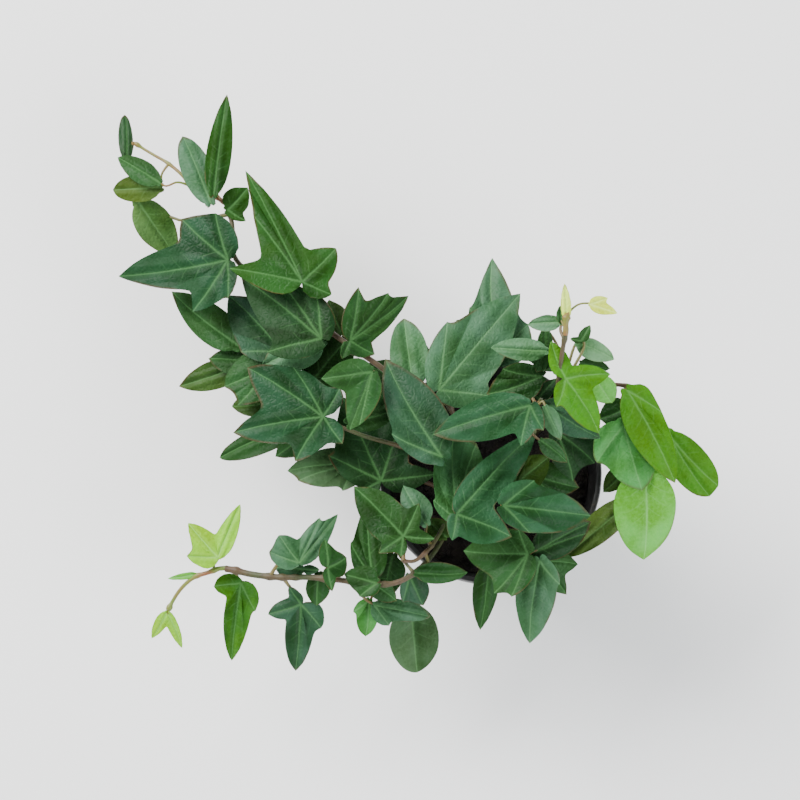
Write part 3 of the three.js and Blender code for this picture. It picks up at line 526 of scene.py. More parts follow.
        ("grey", (-84, -44), (-97, -43), 9, 94, 3, 0, [(-77, -44, 0.6)], 0.5)]},
    "front_left_tip": {"young": True, "thick": (2.2, 1.7), "stem": [(-119.9, -43.3, 86.85),
        (-122, -43.5, 86.5), (-127, -45.3, 86), (-133, -47.3, 84.5), (-139, -52.5, 82),
        (-143, -58.5, 80), (-145.2, -63, 79)],
        "leaves": [
        ("lime", (-145.3, -63), (-138.7, -79), 5, 79, 5, 0, [(-152.2, -74.8, 0.42)]),
        ("palelime", (-132, -46), (-145, -48), 3, 85, 2),
        ("lime", (-122.5, -38.5), (-112.3, -14.2), 8.8, 90, 2, 0, [(-136, -22.8),
         (-136.3, -37.8, 0.75)])]}}

# each tone's screen colour, and how much pale bloom of painted sheen lies on it
tones = {"dark": (46, 84, 38, 0.4), "shade": (40, 74, 38, 0.5), "marine": (42, 82, 50, 0.7),
         "teal": (54, 98, 62, 0.9), "mid": (58, 98, 52, 0.5), "vivid": (46, 90, 30, 0.4),
         "fresh": (78, 130, 46, 0.4), "grey": (58, 94, 66, 1), "mist": (86, 124, 92, 1),
         "frost": (102, 140, 106, 1), "ice": (134, 168, 132, 1), "olive": (68, 96, 42, 0.4),
         "hay": (92, 116, 56, 0.4), "moss": (92, 122, 86, 0.5), "sage": (80, 128, 80, 0.5),
         "pale": (106, 138, 82, 0.5), "bright": (92, 152, 38, 0.2), "acid": (94, 152, 0, 0.1),
         "jade": (94, 152, 86, 0.4), "palelime": (134, 188, 104, 0.3), "lime": (162, 198, 0, 0),
         "lemon": (212, 220, 140, 0)}
# a blade's outline, then its relief in millimetres, with sizes of waves as (count, power, share)
blade = {"roundness": 0.2, "sideWidth": 0.52, "pointedPeak": 1.3, "widest": 1.5, "blend": 6, "heel": 0.18,
         "heelBlend": 2.6, "notch": 0.9, "notchWidth": 0.34, "margin": 1.05, "compass": 145, "rays": 96,
         "fewest": 4, "weight": 0.7, "gather": 1.9, "ripple": 0.014, "ripples": ((5, 1), (11, 0.6)),
         "rings": (0.07, 0.16, 0.26, 0.37, 0.48, 0.58, 0.67, 0.75, 0.82, 0.88, 0.93, 0.97, 1.0)}
relief = {"thick": 0.0005, "fold": 0.12, "curl": 0.1, "usual": 30, "hump": 0.85, "humpWide": 0.3,
          "humpLeast": 2, "humpStart": 3, "groove": 0.05, "grooveWide": 0.8, "wave": 0.55, "waveMost": 1.2,
          "waves": ((3, 3, 1), (8, 5, 0.5)), "bend": 0.1, "crease": 50}
# the blades' painted light: halves, lobes, patches and the end near the stalk painted lighter or darker,
# deep the painted shade colour, pale with its bloom the painted sheen
bladeToneAndPaintedLight = {"spread": (0.95, 1.06), "half": (0.16, 0.42), "halfShadeSoft": 1.8, "lobe": 0.16, "patch": 7,
             "patchShare": 0.55, "shadeNearStalk": 0.7, "shadeNearStalkUntil": 0.55, "plainBelow": 0.35, "plain": 0.75,
             "deep": (0.52, 0.66, 0.44), "pale": 0.35, "paintedSheen": (0.004, 0.007, 0.0065)}
stemForm = {"rise": 11, "steps": 4, "finer": 3, "swell": 0.35, "swellWide": 1.6, "rooted": 1.6, "bud": 0.8,
            "budFrom": 2.4, "budWide": 1.3, "endShare": 0.25, "endWide": 1.6, "resolution": 2}
stalkForm = {"radius": 0.75, "young": 0.75, "base": 0.5, "baseFade": 9, "taper": 0.25, "sink": 1.6,
             "under": 0.35, "shortest": 7, "steps": 14, "nearest": 8, "upright": 1.5}
# the ways a stalk may come to its blade: how far under it and behind it, aside and up
ways = {"ends": ((3.5, 0.6), (2.2, 3), (0.4, 3.5), (4, 5), (3.5, -4)), "aside": (0, -0.14, 0.14),
        "rises": (0.5, 0.85, 0.15), "sharpest": -0.2, "steps": 12}
# what each point of a stalk costs where it is in the way or shows
costs = {"length": 0.35, "wall": 200, "own": 25, "close": 6, "crossing": 60, "tube": 40, "shows": 1.5}
gaps = {"edge": 0.4, "joint": 2.2, "own": -0.5, "leaf": 1.6, "tube": 2.0, "leaves": 45, "tubes": 60}
rim = {"radius": 52, "height": 90, "clear": 3, "inside": 6}
cadBlade = {"near": 0.25, "thick": 0.8, "slack": 0.03}


def place(points):
    # the real places, in metres, of points seen at x, y on the sheet at the height z
    points = np.atleast_2d(np.asarray(points, float))
    across = points[:, :1] - sight["sheet"][0]
    up = points[:, 1:2] - sight["sheet"][1]
    seen = lookAt + across * np.array([1.0, 0, 0]) + up * sheetUp
    share = (eye[2] - points[:, 2]) / (eye[2] - seen[:, 2])
    return (eye + (seen - eye) * share[:, None]) / 1000


def onSheet(points):
    # the other way round
    away = points * 1000 - eye
    seen = eye + away * (-sight["distance"] / (away @ toEye))[:, None] - lookAt
    return np.column_stack([seen[:, 0] + sight["sheet"][0], seen @ sheetUp + sight["sheet"][1],
                            points[:, 2] * 1000])


def turnBetween(a, b):
    return np.arctan2(np.sin(b - a), np.cos(b - a))


def makeLeaf(tone, joint, tip, width, height, drop, roll=0, sideTips=(), roundness=blade["roundness"]):
    def lobeTo(x, y, slim=None, rounded=roundness):
        length = math.hypot(x - joint[0], y - joint[1])
        return {"angle": math.atan2(y - joint[1], x - joint[0]), "length": length,
                "slim": slim or width / length, "round": rounded}
    main = lobeTo(*tip)
    lobes = [main]
    for x, y, *form in sideTips:
        lobe = lobeTo(x, y, *(form or [blade["sideWidth"]]))
        lobe["angle"] = main["angle"] + float(turnBetween(main["angle"], lobe["angle"]))
        lobes.append(lobe)
    turns = [lobe["angle"] for lobe in lobes]
    leaf = {"joint": np.array(joint, float), "heading": main["angle"], "length": main["length"],
            "longest": max(lobe["length"] for lobe in lobes) * blade["margin"], "lobes": lobes,
            "width": width, "height": height, "order": height, "drop": drop, "roll": roll, "tone": tone,
            "back": (min(turns) + max(turns)) / 2 + math.pi}
    leaf["compass"] = np.linspace(-math.pi, math.pi, blade["compass"])
    leaf["edge"] = notched(leaf, leaf["heading"] + leaf["compass"])
    return leaf


def reach(leaf, angles):
    # how far the blade reaches from its joint
    total = 0
    for lobe in leaf["lobes"]:
        off = np.abs(turnBetween(lobe["angle"], np.asarray(angles, float)))
        slope = np.tan(np.minimum(off, blade["widest"]))
        steep = slope / (lobe["slim"] * blade["pointedPeak"])
        pointed = ((np.sqrt(steep ** 2 + 4) - steep) / 2) ** 2
        oval = 1 / (1 + (slope / lobe["slim"]) ** 2)
        share = pointed * (1 - lobe["round"]) + oval * lobe["round"]
        far = lobe["length"] * share / np.cos(np.minimum(off, blade["widest"]))
        total = total + np.where(off > blade["widest"], 0, far) ** blade["blend"]
    heel = (leaf["width"] * blade["heel"]) ** blade["heelBlend"]
    return (total ** (blade["heelBlend"] / blade["blend"]) + heel) ** (1 / blade["heelBlend"])


def notched(leaf, angles):
    # the same with the notch where the stalk comes in
    off = np.abs(turnBetween(leaf["back"], angles))
    return reach(leaf, angles) * (1 - blade["notch"] * np.exp(-(off / blade["notchWidth"]) ** 2))


def bladeHeight(leaf, along, across):
    drop = leaf["drop"] * along / leaf["length"]
    roll = 2 * leaf["roll"] * across / leaf["length"]
    fold, curl = relief["fold"] * np.abs(across), relief["curl"] * np.hypot(along, across)
    return leaf["height"] - drop + roll + fold - curl


def smoothLine(points, steps):
    # a curve through the points, its knots spaced by the root of their distance
    points = [np.array(p, float) for p in points]
    found = []
    for i in range(steps + 1):
        t = (len(points) - 1) * i / steps
        k = min(int(t), len(points) - 2)
        t -= k
        b, c = points[k], points[k + 1]
        a = points[k - 1] if k > 0 else 2 * b - c
        d = points[k + 2] if k + 2 < len(points) else 2 * c - b
        gap0, gap1, gap2 = [max(np.linalg.norm(q - p), 1e-6) ** 0.5 for p, q in ((a, b), (b, c), (c, d))]
        slope0 = ((b - a) / gap0 - (c - a) / (gap0 + gap1) + (c - b) / gap1) * gap1
        slope1 = ((c - b) / gap1 - (d - b) / (gap1 + gap2) + (d - c) / gap2) * gap1
        found.append(b + slope0 * t + (-3 * b + 3 * c - 2 * slope0 - slope1) * t ** 2
                     + (2 * b - 2 * c + slope0 + slope1) * t ** 3)
    return np.array(found)


def fitToFrame(leaf, seen):
    # a leaf lies as high as its CAD blade, whose tips are found where the sheet shows them. A leaf
    # whose tips are elsewhere keeps its own height.
    lifts = []
    for lobe in leaf["lobes"]:
        far = float(reach(leaf, lobe["angle"]))
        spot = leaf["joint"] + far * np.array([math.cos(lobe["angle"]), math.sin(lobe["angle"])])
        near = seen[np.hypot(seen[:, 0] - spot[0], seen[:, 1] - spot[1]) < cadBlade["near"]]
        turn = lobe["angle"] - leaf["heading"]
        level = bladeHeight(leaf, far * math.cos(turn), far * math.sin(turn))
        for low in near:
            for high in near:
                if abs(high[2] - low[2] - cadBlade["thick"]) < cadBlade["slack"]:
                    lifts.append((low[2] + high[2]) / 2 - level)
    if lifts:
        leaf["height"] += float(np.median(lifts))


def findPlants():
    plants = []
    for name, shoot in shoots.items():
        young = shoot.get("young", False)
        root, rest = shoot["stem"][0], shoot["stem"][1:]
        start = [root] if young else [root, (root[0], root[1], root[2] + stemForm["rise"])]
        line = smoothLine(start + rest, (len(start) + len(rest)) * stemForm["steps"])
        thick = np.linspace(shoot["thick"][0] / 2, shoot["thick"][1] / 2, len(line))
        leaves = [makeLeaf(*row) for row in shoot["leaves"]]
        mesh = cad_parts[name].data
        spots = np.zeros(len(mesh.vertices) * 3)
        mesh.vertices.foreach_get("co", spots)
        seen = onSheet(spots.reshape(-1, 3))
        for leaf in leaves:
            fitToFrame(leaf, seen)
        plants.append({"name": name, "young": young, "line": line, "thick": thick, "leaves": leaves,
                       "taken": set(), "stalks": []})
    return plants


def waysRound(start, joint, away):
    # middle points of a stalk that comes from under the blade, or level with it through the notch
    found = []
    for drop, far in ways["ends"]:
        behind = joint + (*(far * away), -drop)
        if np.linalg.norm(start - behind) < stalkForm["shortest"]:
            found.append([])
        for side in ways["aside"]:
            for rise in ways["rises"]:
                middle = (start + behind) / 2
                middle[0] += side * (behind[1] - start[1])
                middle[1] -= side * (behind[0] - start[0])
                middle[2] = start[2] + (behind[2] - start[2]) * rise
                come, go = behind - middle, joint - behind
                if far > 0 or come @ go > ways["sharpest"] * np.linalg.norm(come) * np.linalg.norm(go):
                    found.append([middle, behind])
    return found


def crowding(path, own, leaves, tubes):
    # what a stalk would run into
    def counted(name, where):
        return costs[name] * np.count_nonzero(where)

    aside = np.hypot(path[:, 0], path[:, 1])
    low = (aside < rim["radius"] + rim["clear"]) & (path[:, 2] < rim["height"] + rim["clear"])
    cost = counted("wall", low & (aside > rim["radius"] - rim["inside"]))
    hidden = np.zeros(len(path), bool)
    for leaf in leaves:
        away = path[:, :2] - leaf["joint"]
        distance = np.hypot(away[:, 0], away[:, 1])
        if distance.min() > leaf["longest"]:
            continue
        turn = turnBetween(leaf["heading"], np.arctan2(away[:, 1], away[:, 0]))
        above = path[:, 2] - bladeHeight(leaf, distance * np.cos(turn), distance * np.sin(turn))
        over = distance < np.interp(turn, leaf["compass"], leaf["edge"]) + gaps["edge"]
        hidden |= over & (above < 0)
        if leaf is own:
            cost += counted("own", over & (distance > gaps["joint"]) & (above > gaps["own"]))
            continue
        cost += counted("close", over & (np.abs(above) < gaps["leaf"]))
        cost += counted("crossing", (over[1:] | over[:-1]) & (above[1:] * above[:-1] < 0))
    if len(tubes):
        nearest = np.linalg.norm(path[:, None, :] - tubes[None, :, :], axis=2).min(axis=1)
        cost += counted("tube", nearest < gaps["tube"])
    return cost + counted("shows", ~hidden)


def routeStalk(leaf, plant, leaves, tubes):
    facing = np.array([math.cos(leaf["heading"]), math.sin(leaf["heading"])])
    sunk = stalkForm["sink"]
    end = np.append(leaf["joint"] + sunk * facing, float(bladeHeight(leaf, sunk, 0)) - stalkForm["under"])
    joint = np.append(leaf["joint"], leaf["height"])
    away = np.array([math.cos(leaf["back"]), math.sin(leaf["back"])])
    spans = np.linalg.norm((plant["line"] - joint) * (1, 1, stalkForm["upright"]), axis=1)
    free = [i for i in np.argsort(spans, kind="stable") if int(i) not in plant["taken"]]
    close = [each for each in leaves
             if np.hypot(*(each["joint"] - leaf["joint"])) < each["longest"] + gaps["leaves"]]
    near = tubes[np.linalg.norm(tubes - joint, axis=1) < gaps["tubes"]]
    best = None
    for i in free[:stalkForm["nearest"]]:
        for way in waysRound(plant["line"][i], joint, away):
            knots = [plant["line"][i], *way, end]
            cost = crowding(smoothLine(knots, ways["steps"]), leaf, close, near)
            cost = spans[i] * costs["length"] + cost
            if best is None or cost < best[0]:
                best = (cost, knots, int(i))
    plant["taken"].add(best[2])
    return smoothLine(best[1], stalkForm["steps"])


plants = findPlants()
allLeaves = [leaf for plant in plants for leaf in plant["leaves"]]
for leaf in sorted(allLeaves, key=lambda each: each["order"]):
    plant = next(each for each in plants if any(leaf is own for own in each["leaves"]))
    others = [line for each in plants if each is not plant for line in [each["line"], *each["stalks"]]]
    plant["stalks"].append(routeStalk(leaf, plant, allLeaves, np.vstack(others)))
print("leaf places and stalks found:", len(allLeaves), "leaves")


# blades

def makeBlank():
    # a flat disc of rings, drawn in ring by ring to its middle, which every blade is shaped from
    deselect()
    bpy.ops.mesh.primitive_circle_add(vertices=blade["rays"], radius=1, fill_type="NOTHING")
    blank = bpy.context.object
    bpy.ops.object.mode_set(mode="EDIT")
    bpy.ops.mesh.select_all(action="SELECT")
    shares = list(reversed(blade["rings"]))
    for outer, inner in zip(shares, shares[1:]):
        bpy.ops.mesh.extrude_region_move()
        bpy.ops.transform.resize(value=(inner / outer,) * 3)
    bpy.ops.mesh.extrude_region_move()
    bpy.ops.mesh.merge(type="CENTER")
    bpy.ops.mesh.select_all(action="SELECT")
    bpy.ops.mesh.normals_make_consistent(inside=False)
    bpy.ops.object.mode_set(mode="OBJECT")
    if blank.data.polygons[0].normal.z < 0:
        blank.data.flip_normals()
    bpy.ops.object.shade_smooth()
    blank.name = "bladeBlank"
    return blank


def rayAngles(leaf):
    # directions of the outline's points, closest together at the tips
    lobes = sorted(leaf["lobes"], key=lambda lobe: lobe["angle"])
    back = leaf["back"]
    bays = [back - 2 * math.pi]
    for lobe, after in zip(lobes, lobes[1:]):
        apart = after["angle"] - lobe["angle"]
        bays.append(lobe["angle"] + apart * lobe["slim"] / (lobe["slim"] + after["slim"]))
    bays.append(back)
    weights = np.repeat([lobe["length"] ** blade["weight"] for lobe in lobes], 2)
    counts = np.maximum(blade["fewest"], np.floor(weights / weights.sum() * blade["rays"])).astype(int)
    while counts.sum() != blade["rays"]:
        worst = np.argmax(counts if counts.sum() > blade["rays"] else weights / counts)
        counts[worst] += 1 if counts.sum() < blade["rays"] else -1
    angles, owners = [], []
    for i, lobe in enumerate(lobes):
        before, after = counts[2 * i], counts[2 * i + 1]
        for bay, shares in ((bays[i], [1 - k / before for k in range(before)]),
                            (bays[i + 1], [k / after for k in range(after)])):
            angles += [lobe["angle"] + (bay - lobe["angle"]) * far ** blade["gather"] for far in shares]
        owners += [i] * (before + after)
    return np.array(angles), np.array(owners), lobes


deselect()
blank = makeBlank()
blankSpots = np.array([v.co[:] for v in blank.data.vertices])
blankShare = np.hypot(blankSpots[:, 0], blankSpots[:, 1])
blankTurn = np.arctan2(blankSpots[:, 1], blankSpots[:, 0]) / (2 * math.pi)
blankRay = np.round(blankTurn * blade["rays"]).astype(int) % blade["rays"]
loopVertex = np.zeros(len(blank.data.loops), int)
blank.data.loops.foreach_get("vertex_index", loopVertex)
faceRay = []
for face in blank.data.polygons:
    used = sorted({int(blankRay[v]) for v in face.vertices if blankShare[v] > 0.01})
    faceRay += [used[-1] if used[-1] - used[0] > 1 else used[0]] * face.loop_total
faceRay = np.array(faceRay)


def bladeTonesWithPaintedLight(leaf, x, y, share, side, owner, draws):
    # painted light: each lobe, and each half of it, is painted a little lighter or darker, the blade is
    # deeper near its stalk in painted shade, and a pale bloom of painted sheen lies on it in patches
    look = bladeToneAndPaintedLight
    *base, paintedSheen = tones[leaf["tone"]]
    base = np.array(colour(*base)[:3]) * draws.uniform(*look["spread"])
    half = draws.choice((-1, 1)) * draws.uniform(*look["half"])
    lobeLight = np.array([draws.uniform(-look["lobe"], look["lobe"]) for _ in leaf["lobes"]])[owner]
    shift = draws.uniform(0, 50)
    patches = [noise.noise(Vector((a / look["patch"], b / look["patch"], shift))) for a, b in zip(x, y)]
    light = (0.5 + half * np.tanh(side / look["halfShadeSoft"]) + lobeLight
             + look["patchShare"] * np.array(patches) + look["shadeNearStalk"] * (share - look["shadeNearStalkUntil"]))
    light = np.clip(light, 0, 1)[:, None]
    calm = 1 - look["plain"] * (paintedSheen < look["plainBelow"])
    # deep is the painted shade colour and pale the painted sheen colour; light mixes between them
    deep = base * (1 - calm * (1 - np.array(look["deep"])))
    pale = base * (1 + look["pale"] * calm) + np.array(look["paintedSheen"]) * paintedSheen
    return np.column_stack([deep + (pale - deep) * light, np.ones(len(x))])


def shapeBlade(leaf, draws):
    angles, owners, lobes = rayAngles(leaf)
    phases = [draws.uniform(0, 2 * math.pi) for _ in range(5)]
    seed, bend = draws.random(), draws.uniform(-1, 1) * relief["bend"]
    size = leaf["length"] / relief["usual"]
    ripple = sum(part * np.sin(count * angles + phase)
                 for (count, part), phase in zip(blade["ripples"], phases))
    far = notched(leaf, angles) * (1 + blade["ripple"] * ripple)
    middle = np.array([lobe["angle"] for lobe in lobes])[owners]
    ray, share = blankRay, blankShare
    out = share * far[ray]
    angle = angles[ray]
    turn = angle - leaf["heading"]
    level = bladeHeight(leaf, out * np.cos(turn), out * np.sin(turn))
    side = out * np.sin(angle - middle[ray])
    halfWide = max(leaf["width"] * relief["humpWide"], relief["humpLeast"])
    hump = np.sin(math.pi * np.clip(np.abs(side) / halfWide, 0, 1)) ** 2
    level += relief["hump"] * min(size, 1) * (hump * np.clip(share * relief["humpStart"], 0, 1))
    level -= relief["groove"] * np.exp(-(side / relief["grooveWide"]) ** 2)
    wave = sum(part * np.sin(count * angle + phase) * share ** power
               for (count, power, part), phase in zip(relief["waves"], phases[2:]))
    level += relief["wave"] * min(size, relief["waveMost"]) * wave
    seenAngle = angle + bend * (share ** 2 - 1)
    x = leaf["joint"][0] + out * np.cos(seenAngle)
    y = leaf["joint"][1] + out * np.sin(seenAngle)
    choose(blank)
    bpy.ops.object.duplicate()
    piece = bpy.context.object
    mesh = piece.data
    mesh.vertices.foreach_set("co", place(np.column_stack([x, y, level])).ravel())
    loopAngle = angles[blankRay[loopVertex]] - middle[faceRay]
    loopOut = out[loopVertex]
    maps = {"blade": (loopOut * np.cos(loopAngle) / mapSpan, loopOut * np.sin(loopAngle) / mapSpan + 0.5),
            "edge": (share[loopVertex], np.full(len(loopVertex), seed))}
    for name, columns in maps.items():
        mesh.uv_layers.new(name=name).data.foreach_set("uv", np.column_stack(columns).ravel())
    # the tone holds the blade's colour with its painted shade and painted sheen
    tone = mesh.color_attributes.new("tone", "FLOAT_COLOR", "POINT")
    tone.data.foreach_set("color", bladeTonesWithPaintedLight(leaf, x, y, share, side, owners[ray], draws).ravel())
    mesh.materials.append(materials["leafTop"])
    mesh.materials.append(materials["leafUnder"])
    return piece


def tubeAlong(name, line, radii, material):
    # a round stem along points of the sheet
    data = bpy.data.curves.new(name, "CURVE")
    data.dimensions = "3D"
    spline = data.splines.new("POLY")
    spots = place(line)
    spline.points.add(len(spots) - 1)
    for point, spot, radius in zip(spline.points, spots, radii):
        point.co = (*spot, 1)
        point.radius = radius / 1000
    data.bevel_depth = 1
    data.bevel_resolution = stemForm["resolution"]
    data.use_fill_caps = True
    tube = bpy.data.objects.new(name, data)
    bpy.context.collection.objects.link(tube)
    choose(tube)
    bpy.ops.object.convert(target="MESH")
    tube = bpy.context.object
    bpy.ops.object.shade_smooth()
    dress(tube, material)
    return tube


def swollen(line, radii, knots):
    # a stem is thicker where a stalk leaves it
    radii = radii.copy()
    for knot in knots:
        away = np.linalg.norm(line - knot, axis=1)
        radii *= 1 + stemForm["swell"] * np.exp(-(away / stemForm["swellWide"]) ** 2)
    return radii


def makePlant(plant):
    seeded = random.Random(plant["name"])
    young = plant["young"]
    blades = [shapeBlade(leaf, seeded) for leaf in plant["leaves"]]
    foliage = join(blades, plant["name"] + "_plant")
    shell = foliage.modifiers.new("thickness", "SOLIDIFY")
    shell.thickness = relief["thick"]
    shell.offset = 0
    shell.material_offset = 1
    applyModifiers(foliage)
    smoothBelow(foliage, relief["crease"])
    form = stemForm
    steps = (len(plant["line"]) - 1) * form["finer"]
    line = smoothLine(plant["line"], steps)
    if young:
        line[0] -= (line[1] - line[0]) * form["rooted"] / np.linalg.norm(line[1] - line[0])
    radii = np.interp(np.linspace(0, 1, steps + 1), np.linspace(0, 1, len(plant["thick"])),
                      plant["thick"])
    radii = swollen(line, radii, [stalk[0] for stalk in plant["stalks"]])
    if young:  # it ends in a bud
        left = np.linalg.norm(line - line[-1], axis=1)
        bud = 1 + form["bud"] * np.exp(-((left - form["budFrom"]) / form["budWide"]) ** 2)
        radii *= bud * np.clip(form["endShare"] + left / form["endWide"], 0, 1)
    tubes = [tubeAlong("stem", line, radii, materials["young" if young else "stem"])]
    form = stalkForm
    for stalk in plant["stalks"]:
        share = np.linspace(0, 1, len(stalk))
        width = form["radius"] * (1 + form["base"] * np.exp(-share * form["baseFade"]))
        width = width * (1 - form["taper"] * share)
        if young:
            width = width * form["young"]
        tubes.append(tubeAlong("stalk", stalk, width, materials["young" if young else "stalk"]))
    piece = join([foliage, *tubes], plant["name"] + "_plant")
    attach(piece, "root")
    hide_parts(plant["name"])


for plant in plants:
    makePlant(plant)
    print("made", plant["name"])
discard(blank)


# pot

# foot, band, rim and lip are steps (outward, upward) from their place, outside and inside are where
# rows of points on the wall start and end and how many, and bottom is the floor's rounded edge
potForm = {"height": 0.09, "rimRadius": 0.052, "baseRadius": 0.036, "wall": 0.0016, "floor": 0.0024,
           "bandHeight": 0.009, "bandStep": 0.0014,
           "foot": ((-0.006, 0), (-0.0052, 0.0005), (-0.0036, 0.0005), (-0.0028, 0), (-0.001, 0),
                    (0, 0.001), (0.0004, 0.0025)),
           "band": ((-0.0004, 0.0006), (0, 0.0016)),
           "rim": ((0, -0.0024), (-0.0002, -0.0008), (-0.0007, -0.0001), (-0.0012, 0)),
           "lip": ((0.0009, 0), (0.0003, -0.0003), (0, -0.0012)),
           "bottom": ((0.004, 0.0005, 0.0036), (0.003, 0.0016, 0.0024)), "corner": 0.0036,
           "outside": (0.006, -0.001, 14), "inside": (-0.003, 0.006, 12),
           "turns": 120, "holes": 6, "holeRadius": 0.0032, "holeRing": 0.027, "drill": 0.012, "crease": 35}


def spinProfile(name, profile, turns):
    # a profile drawn point by point, spun round the upright axis
    deselect()
    bpy.ops.mesh.primitive_plane_add(size=0.001)
    turned = bpy.context.object
    bpy.ops.object.mode_set(mode="EDIT")
    bpy.ops.mesh.select_all(action="SELECT")
    bpy.ops.mesh.merge(type="CENTER")
    bpy.ops.transform.translate(value=(profile[0][0], 0, profile[0][1]))
    for (r0, z0), (r1, z1) in zip(profile, profile[1:]):
        bpy.ops.mesh.extrude_region_move(TRANSFORM_OT_translate={"value": (r1 - r0, 0, z1 - z0)})
    bpy.ops.mesh.select_all(action="SELECT")
    bpy.ops.mesh.spin(steps=turns, angle=2 * math.pi, center=(0, 0, 0), axis=(0, 0, 1))
    bpy.ops.mesh.select_all(action="SELECT")
    bpy.ops.mesh.remove_doubles(threshold=0.00001)
    bpy.ops.mesh.normals_make_consistent(inside=False)
    bpy.ops.object.mode_set(mode="OBJECT")
    turned.name = turned.data.name = name
    return turned


def bodyRadius(z):
    base = potForm["baseRadius"]
    return base + (potForm["rimRadius"] - potForm["bandStep"] - base) * z / potForm["height"]


def makePot():
    form = potForm
    top, base, outer = form["height"], form["baseRadius"], form["rimRadius"]
    band, corner = top - form["bandHeight"], form["corner"]

    def inner(z):
        return bodyRadius(z) - form["wall"]

    def curve(radius, height, name):
        return [(radius + out, height + up) for out, up in form[name]]

    (low, under, outside), (over, deep, inside) = form["outside"], form["inside"]
    profile = [(0, 0), *curve(base, 0, "foot"), (bodyRadius(corner), corner)]
    profile += [(bodyRadius(z), z) for z in np.linspace(low, band + under, outside)]
    profile += [(bodyRadius(band), band), *curve(outer, band, "band"), *curve(outer, top, "rim")]
    profile += curve(inner(top), top, "lip")
    profile += [(inner(z), z) for z in np.linspace(top + over, deep, inside)]
    profile += [(inner(z) - step, height) for z, step, height in form["bottom"]] + [(0, form["floor"])]
    pot = spinProfile("nursery_pot", profile, form["turns"])
    drills = []
    for i in range(form["holes"]):
        turn = 2 * math.pi * i / form["holes"]
        spot = (form["holeRing"] * math.cos(turn), form["holeRing"] * math.sin(turn), form["floor"] / 2)
        deselect()
        bpy.ops.mesh.primitive_cylinder_add(vertices=40, radius=form["holeRadius"], depth=form["drill"],
                                            location=spot)
        drills.append(bpy.context.object)
    drill = join(drills, "drill")
    cut = pot.modifiers.new("drainHoles", "BOOLEAN")
    cut.object = drill
    cut.operation = "DIFFERENCE"
    cut.solver = "EXACT"
    applyModifiers(pot)
    discard(drill)
    settle(pot)
    smoothBelow(pot, form["crease"])
    dress(pot, makePotMaterial())
    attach(pot, "root")
    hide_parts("pot")


potLook = {"plastic": (60, 60, 62), "scuffed": (82, 80, 76), "scuffs": (55.0, 1.0), "scuffShare": 0.5,
           "dust": (128, 116, 96), "specks": (420.0, 5.0, 0.7), "dusty": (0.56, 0.7),
           "dustOnScuffs": (0.2, 1.0, 0.1, 0.55), "roughness": (0.38, 0.62), "grain": (1500.0, 3.0),
           "bump": (0.25, 0.0002)}


def makePotMaterial():
    look = potLook
    material, tree = startMaterial("potPlastic")
    scuffs = patchesOf(tree, *look["scuffs"])
    skin = blend(tree, maths(tree, "MULTIPLY", scuffs, look["scuffShare"]), colour(*look["plastic"]),
                 colour(*look["scuffed"]))
    specks = noiseNode(tree, objectSpot(tree), *look["specks"])
    dust = maths(tree, "MULTIPLY", ramp(tree, specks, *look["dusty"]),
                 ramp(tree, scuffs, *look["dustOnScuffs"]))
    grain = noiseNode(tree, objectSpot(tree), *look["grain"])
    shade(tree, {"Base Color": blend(tree, dust, skin, colour(*look["dust"])),
                 "Roughness": ramp(tree, scuffs, 0.0, 1.0, *look["roughness"]),
                 "Normal": bumpOf(tree, grain, *look["bump"])})
    return material


makePot()
print("pot made")

# soil

soilForm = {"top": 0.08, "bottom": 0.003, "gap": 0.0004, "crown": 0.0025, "clod": 0.00088, "turns": 110,
            "rings": 30, "lumps": ((1, 0, 90), (0.5, 0.3, 260)), "crumbs": 420,
            "crumbSizes": (0.0005, 0.0017), "crumbRough": (0.45, 1.7), "crumbRise": 0.2, "crumbTurn": 6.28,
           "crumbShape": (0.7, 1.3), "crumbEdge": 0.002, "narrower": 0.001, "seed": 5, "crease": 60}
soilLook = {"colours": ((24, 18, 16), (50, 40, 32), (84, 68, 48)), "patches": (160.0, 4.0),
            "grain": (850.0, 6.0, 0.75), "flecks": (0.58, 0.7), "roughness": 0.95, "bump": (0.9, 0.0009)}


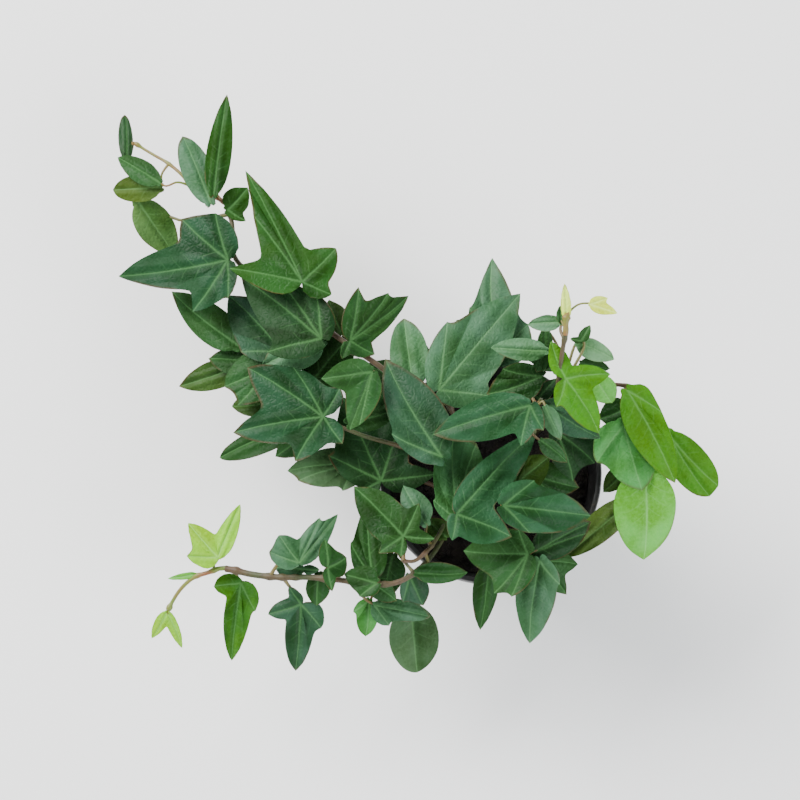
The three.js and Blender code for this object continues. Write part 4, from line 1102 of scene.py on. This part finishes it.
def soilTop(x, y):
    share = math.hypot(x, y) / (bodyRadius(soilForm["top"]) - potForm["wall"])
    lump = sum(size * noise.noise(Vector((x, y, z)) * scale) for size, z, scale in soilForm["lumps"])
    return soilForm["top"] - soilForm["crown"] * share ** 2 + soilForm["clod"] * lump


def makeSoil():
    form = soilForm
    seeded = random.Random(form["seed"])
    edge = bodyRadius(form["top"] - form["crown"]) - potForm["wall"] - form["gap"]
    base = bodyRadius(form["bottom"]) - potForm["wall"] - form["gap"] - form["narrower"]
    profile = [(0, form["bottom"]), (base, form["bottom"])]
    profile += [(edge * i / form["rings"], form["top"]) for i in range(form["rings"], -1, -1)]
    ground = spinProfile("soil_ground", profile, form["turns"])
    for vertex in ground.data.vertices:
        if vertex.co.z > form["top"] / 2:
            vertex.co.z = soilTop(vertex.co.x, vertex.co.y)
    smoothBelow(ground, form["crease"])
    deselect()
    bpy.ops.mesh.primitive_ico_sphere_add(subdivisions=2, radius=1)
    crumb = bpy.context.object
    rough, scale = form["crumbRough"]
    for vertex in crumb.data.vertices:
        vertex.co *= 1 + rough * noise.noise(vertex.co * scale)
    bpy.ops.object.shade_smooth()
    crumbs = []
    for _ in range(form["crumbs"]):
        away = (edge - form["crumbEdge"]) * math.sqrt(seeded.random())
        turn = seeded.uniform(0, 2 * math.pi)
        x, y = away * math.cos(turn), away * math.sin(turn)
        copy = crumb.copy()
        copy.data = crumb.data.copy()
        bpy.context.collection.objects.link(copy)
        size = seeded.uniform(*form["crumbSizes"])
        copy.location = (x, y, soilTop(x, y) + size * form["crumbRise"])
        copy.rotation_euler = [seeded.uniform(0, form["crumbTurn"]) for _ in range(3)]
        copy.scale = [size * seeded.uniform(*form["crumbShape"]) for _ in range(3)]
        crumbs.append(copy)
    discard(crumb)
    soil = join([ground, *crumbs], "soil_with_crumbs")
    settle(soil)
    dress(soil, makeSkin("pottingSoil", soilLook))
    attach(soil, "root")
    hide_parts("soil")


makeSoil()
print("soil made")

floorMaterial, floorTree = startMaterial("paleFloor")
shade(floorTree, {"Base Color": (*studio["floor"], 1), "Roughness": studio["floorRoughness"]})
dress(floor, floorMaterial)
